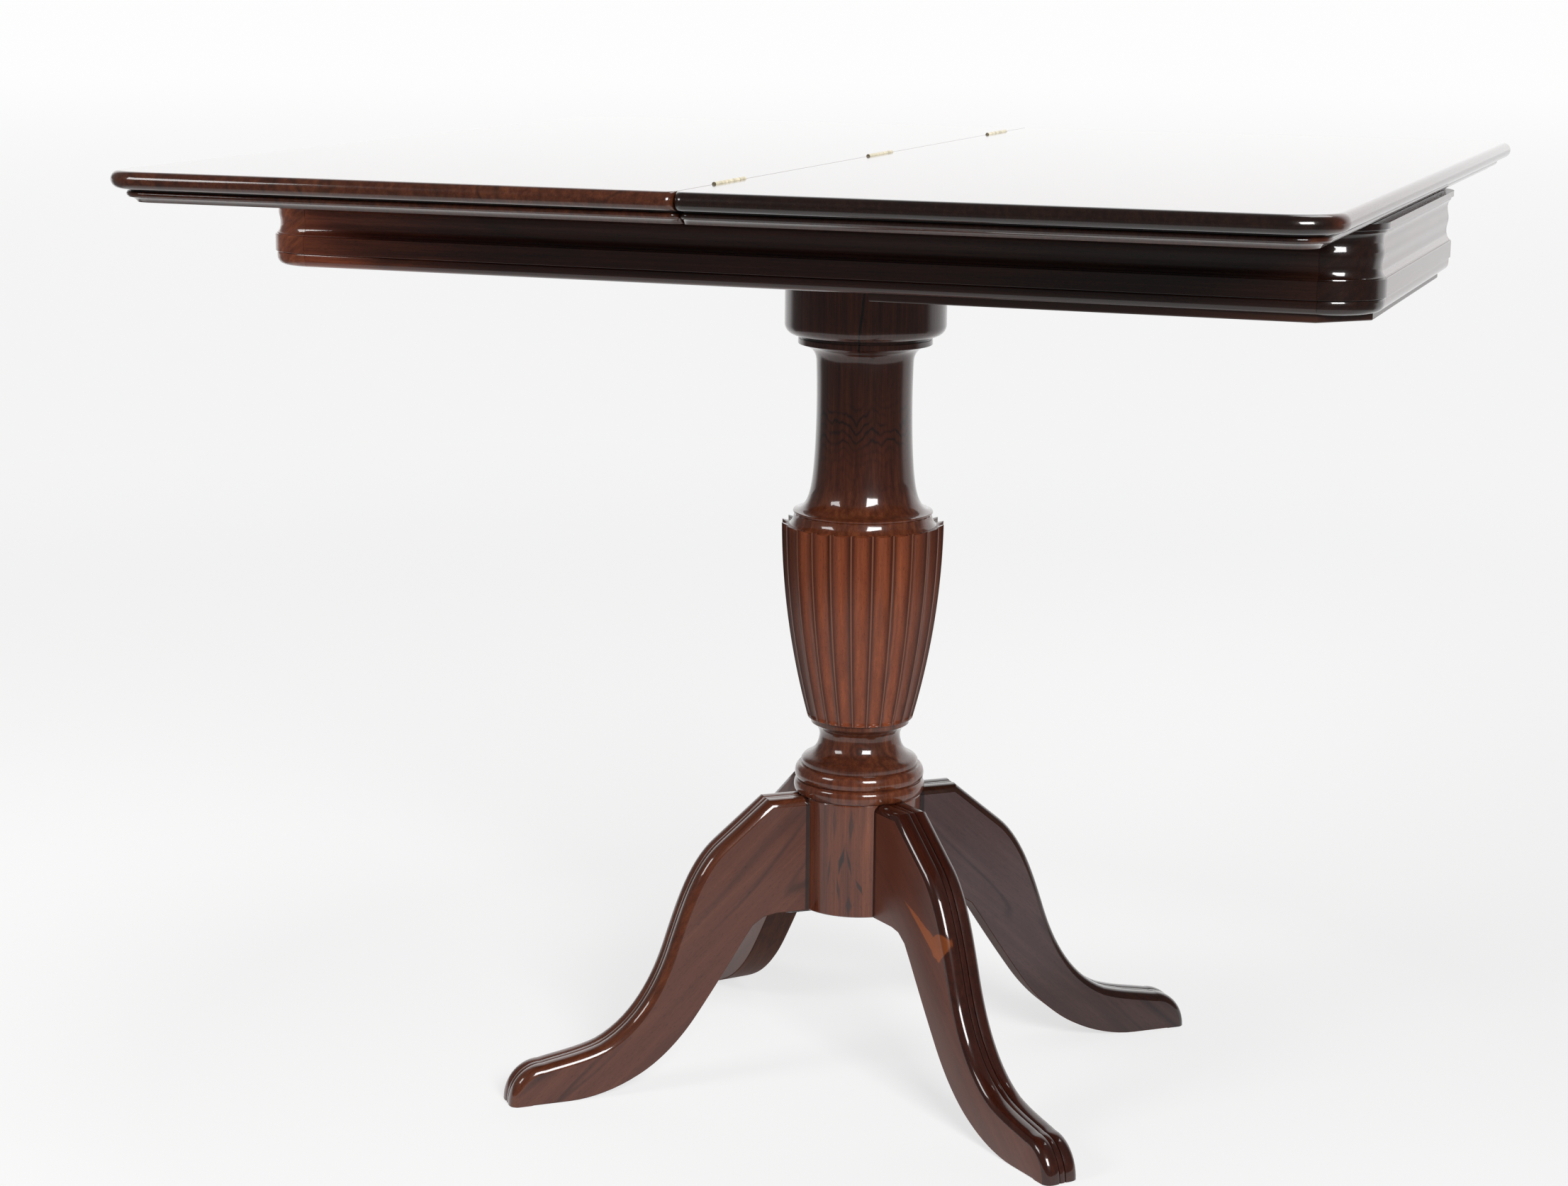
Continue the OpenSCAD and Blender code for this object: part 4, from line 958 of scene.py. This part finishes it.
class TABLE_OT_legs(bpy.types.Operator):
    """Builds the four sabre legs with the moulding along their upper edge"""
    bl_idname = "table.legs"
    bl_label = "Legs"

    def execute(self, context):
        settings, looks = context.scene.table_legs, context.scene.table_looks
        for name, (turn, side, edge) in LEGS.items():
            bm = bmesh.new()
            rings = self.rings(settings)
            loft(bm, rings)
            self.mark_faces(bm, rings)
            to_axis(bm, turn)
            grain = {"turn": (0, math.radians(42), math.radians(turn)), "shift": (0.1, 0.2, 0.05 * turn)}
            marks = leg_marks(math.radians(turn), name == "front", name in ("right", "back"))
            materials = [
                wood(name + "_leg_side", looks, tint=side, gloss=0.3, rough=0.45, figure=0.8, contrast=0.45,
                     coat=0.8, streak=0.009, paint=marks, **grain),
                wood(name + "_leg_moulding", looks, tint=edge, gloss=0.06, figure=0.3, contrast=0.8,
                     paint=marks, **grain),
                wood(name + "_leg_underside", looks, tint=0.5, gloss=0.5, rough=0.6, figure=0.1, coat=0.1,
                     **grain)]
            finish_piece(bm, name + "_leg_carved", "base", ["leg_" + name], materials, sharp=26)
        return {"FINISHED"}

    def mark_faces(self, bm, rings):
        """Side faces keep the first material, the moulding takes the second and the underside the third."""
        below = {tuple(round(c, 6) for c in point) for ring in rings for point in ring[-4:]}
        bm.normal_update()
        for face in bm.faces:
            if abs(face.normal.y) < 0.98:
                low = all(tuple(round(c, 6) for c in v.co) in below for v in face.verts)
                face.material_index = 2 if low else 1

    def section(self, settings):
        """Half of the moulding on the upper edge, from the side in: distance from the middle, and depth."""
        half, lobe, groove = settings.thickness / 2 / MM, settings.lobe / MM, settings.groove / MM
        side = [(half, lobe)]
        bend(side, (half - 1.0, lobe * 0.45), (half - 2.8, 0.75), (half - 6.0, 0.2), 10)
        bend(side, (half - 8.5, -0.1), (half - 10.8, 0), (3.0, groove * 0.3), 6)
        side += [(2.7, groove), (2.45, groove), (2.2, groove * 0.42), (1.2, groove * 0.3), (0, groove * 0.26)]
        return side

    def rings(self, settings):
        """The leg's outline at each point of its path, square to the upper edge."""
        upper, lower = leg_path()
        half = settings.thickness / 2 / MM
        side = self.section(settings)
        full = [(-t, d) for t, d in side] + [(t, d) for t, d in reversed(side[:-1])]
        rings = []
        for i, (s, z) in enumerate(upper):
            before, after = upper[max(i - 1, 0)], upper[min(i + 1, len(upper) - 1)]
            run, rise = after[0] - before[0], after[1] - before[1]
            size = math.hypot(run, rise)
            inward = (rise / size, -run / size)
            if i == 0:
                inward = (0, -1)
            if i == len(upper) - 1:
                inward = (-1, 0)
            kink = 1.06 if i == LEG_KINK else 1.0
            points = [(s + inward[0] * d * kink, t, z + inward[1] * d * kink) for t, d in full]
            ls, lz = lower[i]
            inner = half - LEG_EDGE
            lift = 0.0 if i == len(upper) - 1 else LEG_EDGE
            points += [(ls, half, lz + lift), (ls, inner, lz), (ls, -inner, lz), (ls, -half, lz + lift)]
            if i == 0:
                points = [(math.sqrt(LEG_END ** 2 - t * t), t, h) for _, t, h in points]
            rings.append([(a * MM, t * MM, max(h, 0) * MM) for a, t, h in points])
        return rings


# Cut across the outer corners of the well board
BOARD_CUT = 0.034


class TABLE_OT_well_board(bpy.types.Operator):
    """Builds the board that closes the storage well from below"""
    bl_idname = "table.well_board"
    bl_label = "Well board"

    def execute(self, context):
        settings, looks = context.scene.table_frame, context.scene.table_looks
        low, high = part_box("well_board")
        bm = bmesh.new()
        bmesh.ops.create_grid(bm, x_segments=1, y_segments=1, size=0.5)
        bmesh.ops.scale(bm, vec=(high.x - low.x, high.y - low.y, 1), verts=bm.verts)
        move(bm, ((low.x + high.x) / 2, (low.y + high.y) / 2, high.z))
        outer = [v for v in bm.verts if v.co.x > high.x - MM]
        bmesh.ops.bevel(bm, geom=outer, offset=BOARD_CUT, segments=1, profile=0.5, affect="VERTICES",
                        material=-1)
        made = bmesh.ops.extrude_face_region(bm, geom=bm.faces[:])
        move(bm, (0, 0, low.z - high.z), new_verts(made))
        bottom = [e for e in bm.edges if all(v.co.z < low.z + MM for v in e.verts)]
        bmesh.ops.bevel(bm, geom=bottom, offset=settings.board_edge, segments=3, profile=0.5, affect="EDGES",
                        material=-1)
        # Its dark tint is partly stain and partly painted shade under the frame
        material = wood("well_board_stain_and_painted_shade", looks, tint=0.25, shift=(0.9, 0.1, 0.3), gloss=0.3, rough=0.5,
                        figure=0.4)
        finish_piece(bm, "well_board_bevelled", "base", ["well_board"], [material])
        return {"FINISHED"}


class TABLE_OT_hidden_wood(bpy.types.Operator):
    """Gives the pieces inside the frame their plain wood"""
    bl_idname = "table.hidden_wood"
    bl_label = "Hidden wood"

    def execute(self, context):
        looks = context.scene.table_looks
        across = plain_wood("hidden_wood_across", looks.inside, turn=(0, 0, QUARTER))
        upright = plain_wood("hidden_wood_upright", [c * 0.9 for c in looks.inside], turn=(0, QUARTER, 0))
        for name, material in (("bearer", across), ("partition", across), ("pivot_board", across),
                               ("pivot_ledgers", across), ("glue_blocks", upright), ("tenon_wedge", upright),
                               ("stop_peg", upright)):
            cover(name, material)
        return {"FINISHED"}


class TABLE_OT_fittings(bpy.types.Operator):
    """Gives the hinges, the pivot and the screws their metals"""
    bl_idname = "table.fittings"
    bl_label = "Fittings"

    def execute(self, context):
        looks = context.scene.table_looks
        brass = metal("dark_brass", looks.brass, [c * 0.65 for c in looks.brass], rough=0.25)
        iron = metal("dark_iron", looks.iron, [c * 0.3 for c in looks.iron], rough=0.45)
        for name in ("fixed_hinge_plates", "folding_hinge_plates", "hinge_pins", "fixed_hinge_screws",
                     "folding_hinge_screws", "pivot_bush", "well_screws", "ledger_screws"):
            cover(name, brass)
        for name in ("swivel_plate", "swivel_screws", "pivot_bolt", "pivot_washer", "pivot_nut", "lock_nut",
                     "tie_plate", "tie_screws"):
            cover(name, iron)
        return {"FINISHED"}


class TABLE_PT_panel(bpy.types.Panel):
    """Lists the pieces of the table and their settings"""
    bl_idname = "TABLE_PT_panel"
    bl_label = "Fold-over Table"
    bl_space_type = "VIEW_3D"
    bl_region_type = "UI"
    bl_category = "Table"

    def draw(self, context):
        for group in SETTINGS:
            box = self.layout.box()
            settings = getattr(context.scene, group)
            for key in settings.__annotations__:
                box.prop(settings, key)
        for operator in OPERATORS:
            self.layout.operator(operator.bl_idname)


SETTINGS = {"table_looks": TableLooks, "table_top": TableTop, "table_frame": TableFrame,
            "table_column": TableColumn, "table_legs": TableLegs}
OPERATORS = (TABLE_OT_stage, TABLE_OT_leaves, TABLE_OT_rails, TABLE_OT_corners, TABLE_OT_column,
             TABLE_OT_legs, TABLE_OT_well_board, TABLE_OT_hidden_wood, TABLE_OT_fittings)


def register():
    for name, group in SETTINGS.items():
        bpy.utils.register_class(group)
        setattr(bpy.types.Scene, name, bpy.props.PointerProperty(type=group))
    for kind in (*OPERATORS, TABLE_PT_panel):
        bpy.utils.register_class(kind)


def unregister():
    for kind in (TABLE_PT_panel, *reversed(OPERATORS)):
        bpy.utils.unregister_class(kind)
    for name, group in SETTINGS.items():
        delattr(bpy.types.Scene, name)
        bpy.utils.unregister_class(group)


def main():
    """Builds every piece in order."""
    register()
    for kind in OPERATORS:
        area, name = kind.bl_idname.split(".")
        getattr(getattr(bpy.ops, area), name)()


if __name__ == "__main__":
    main()
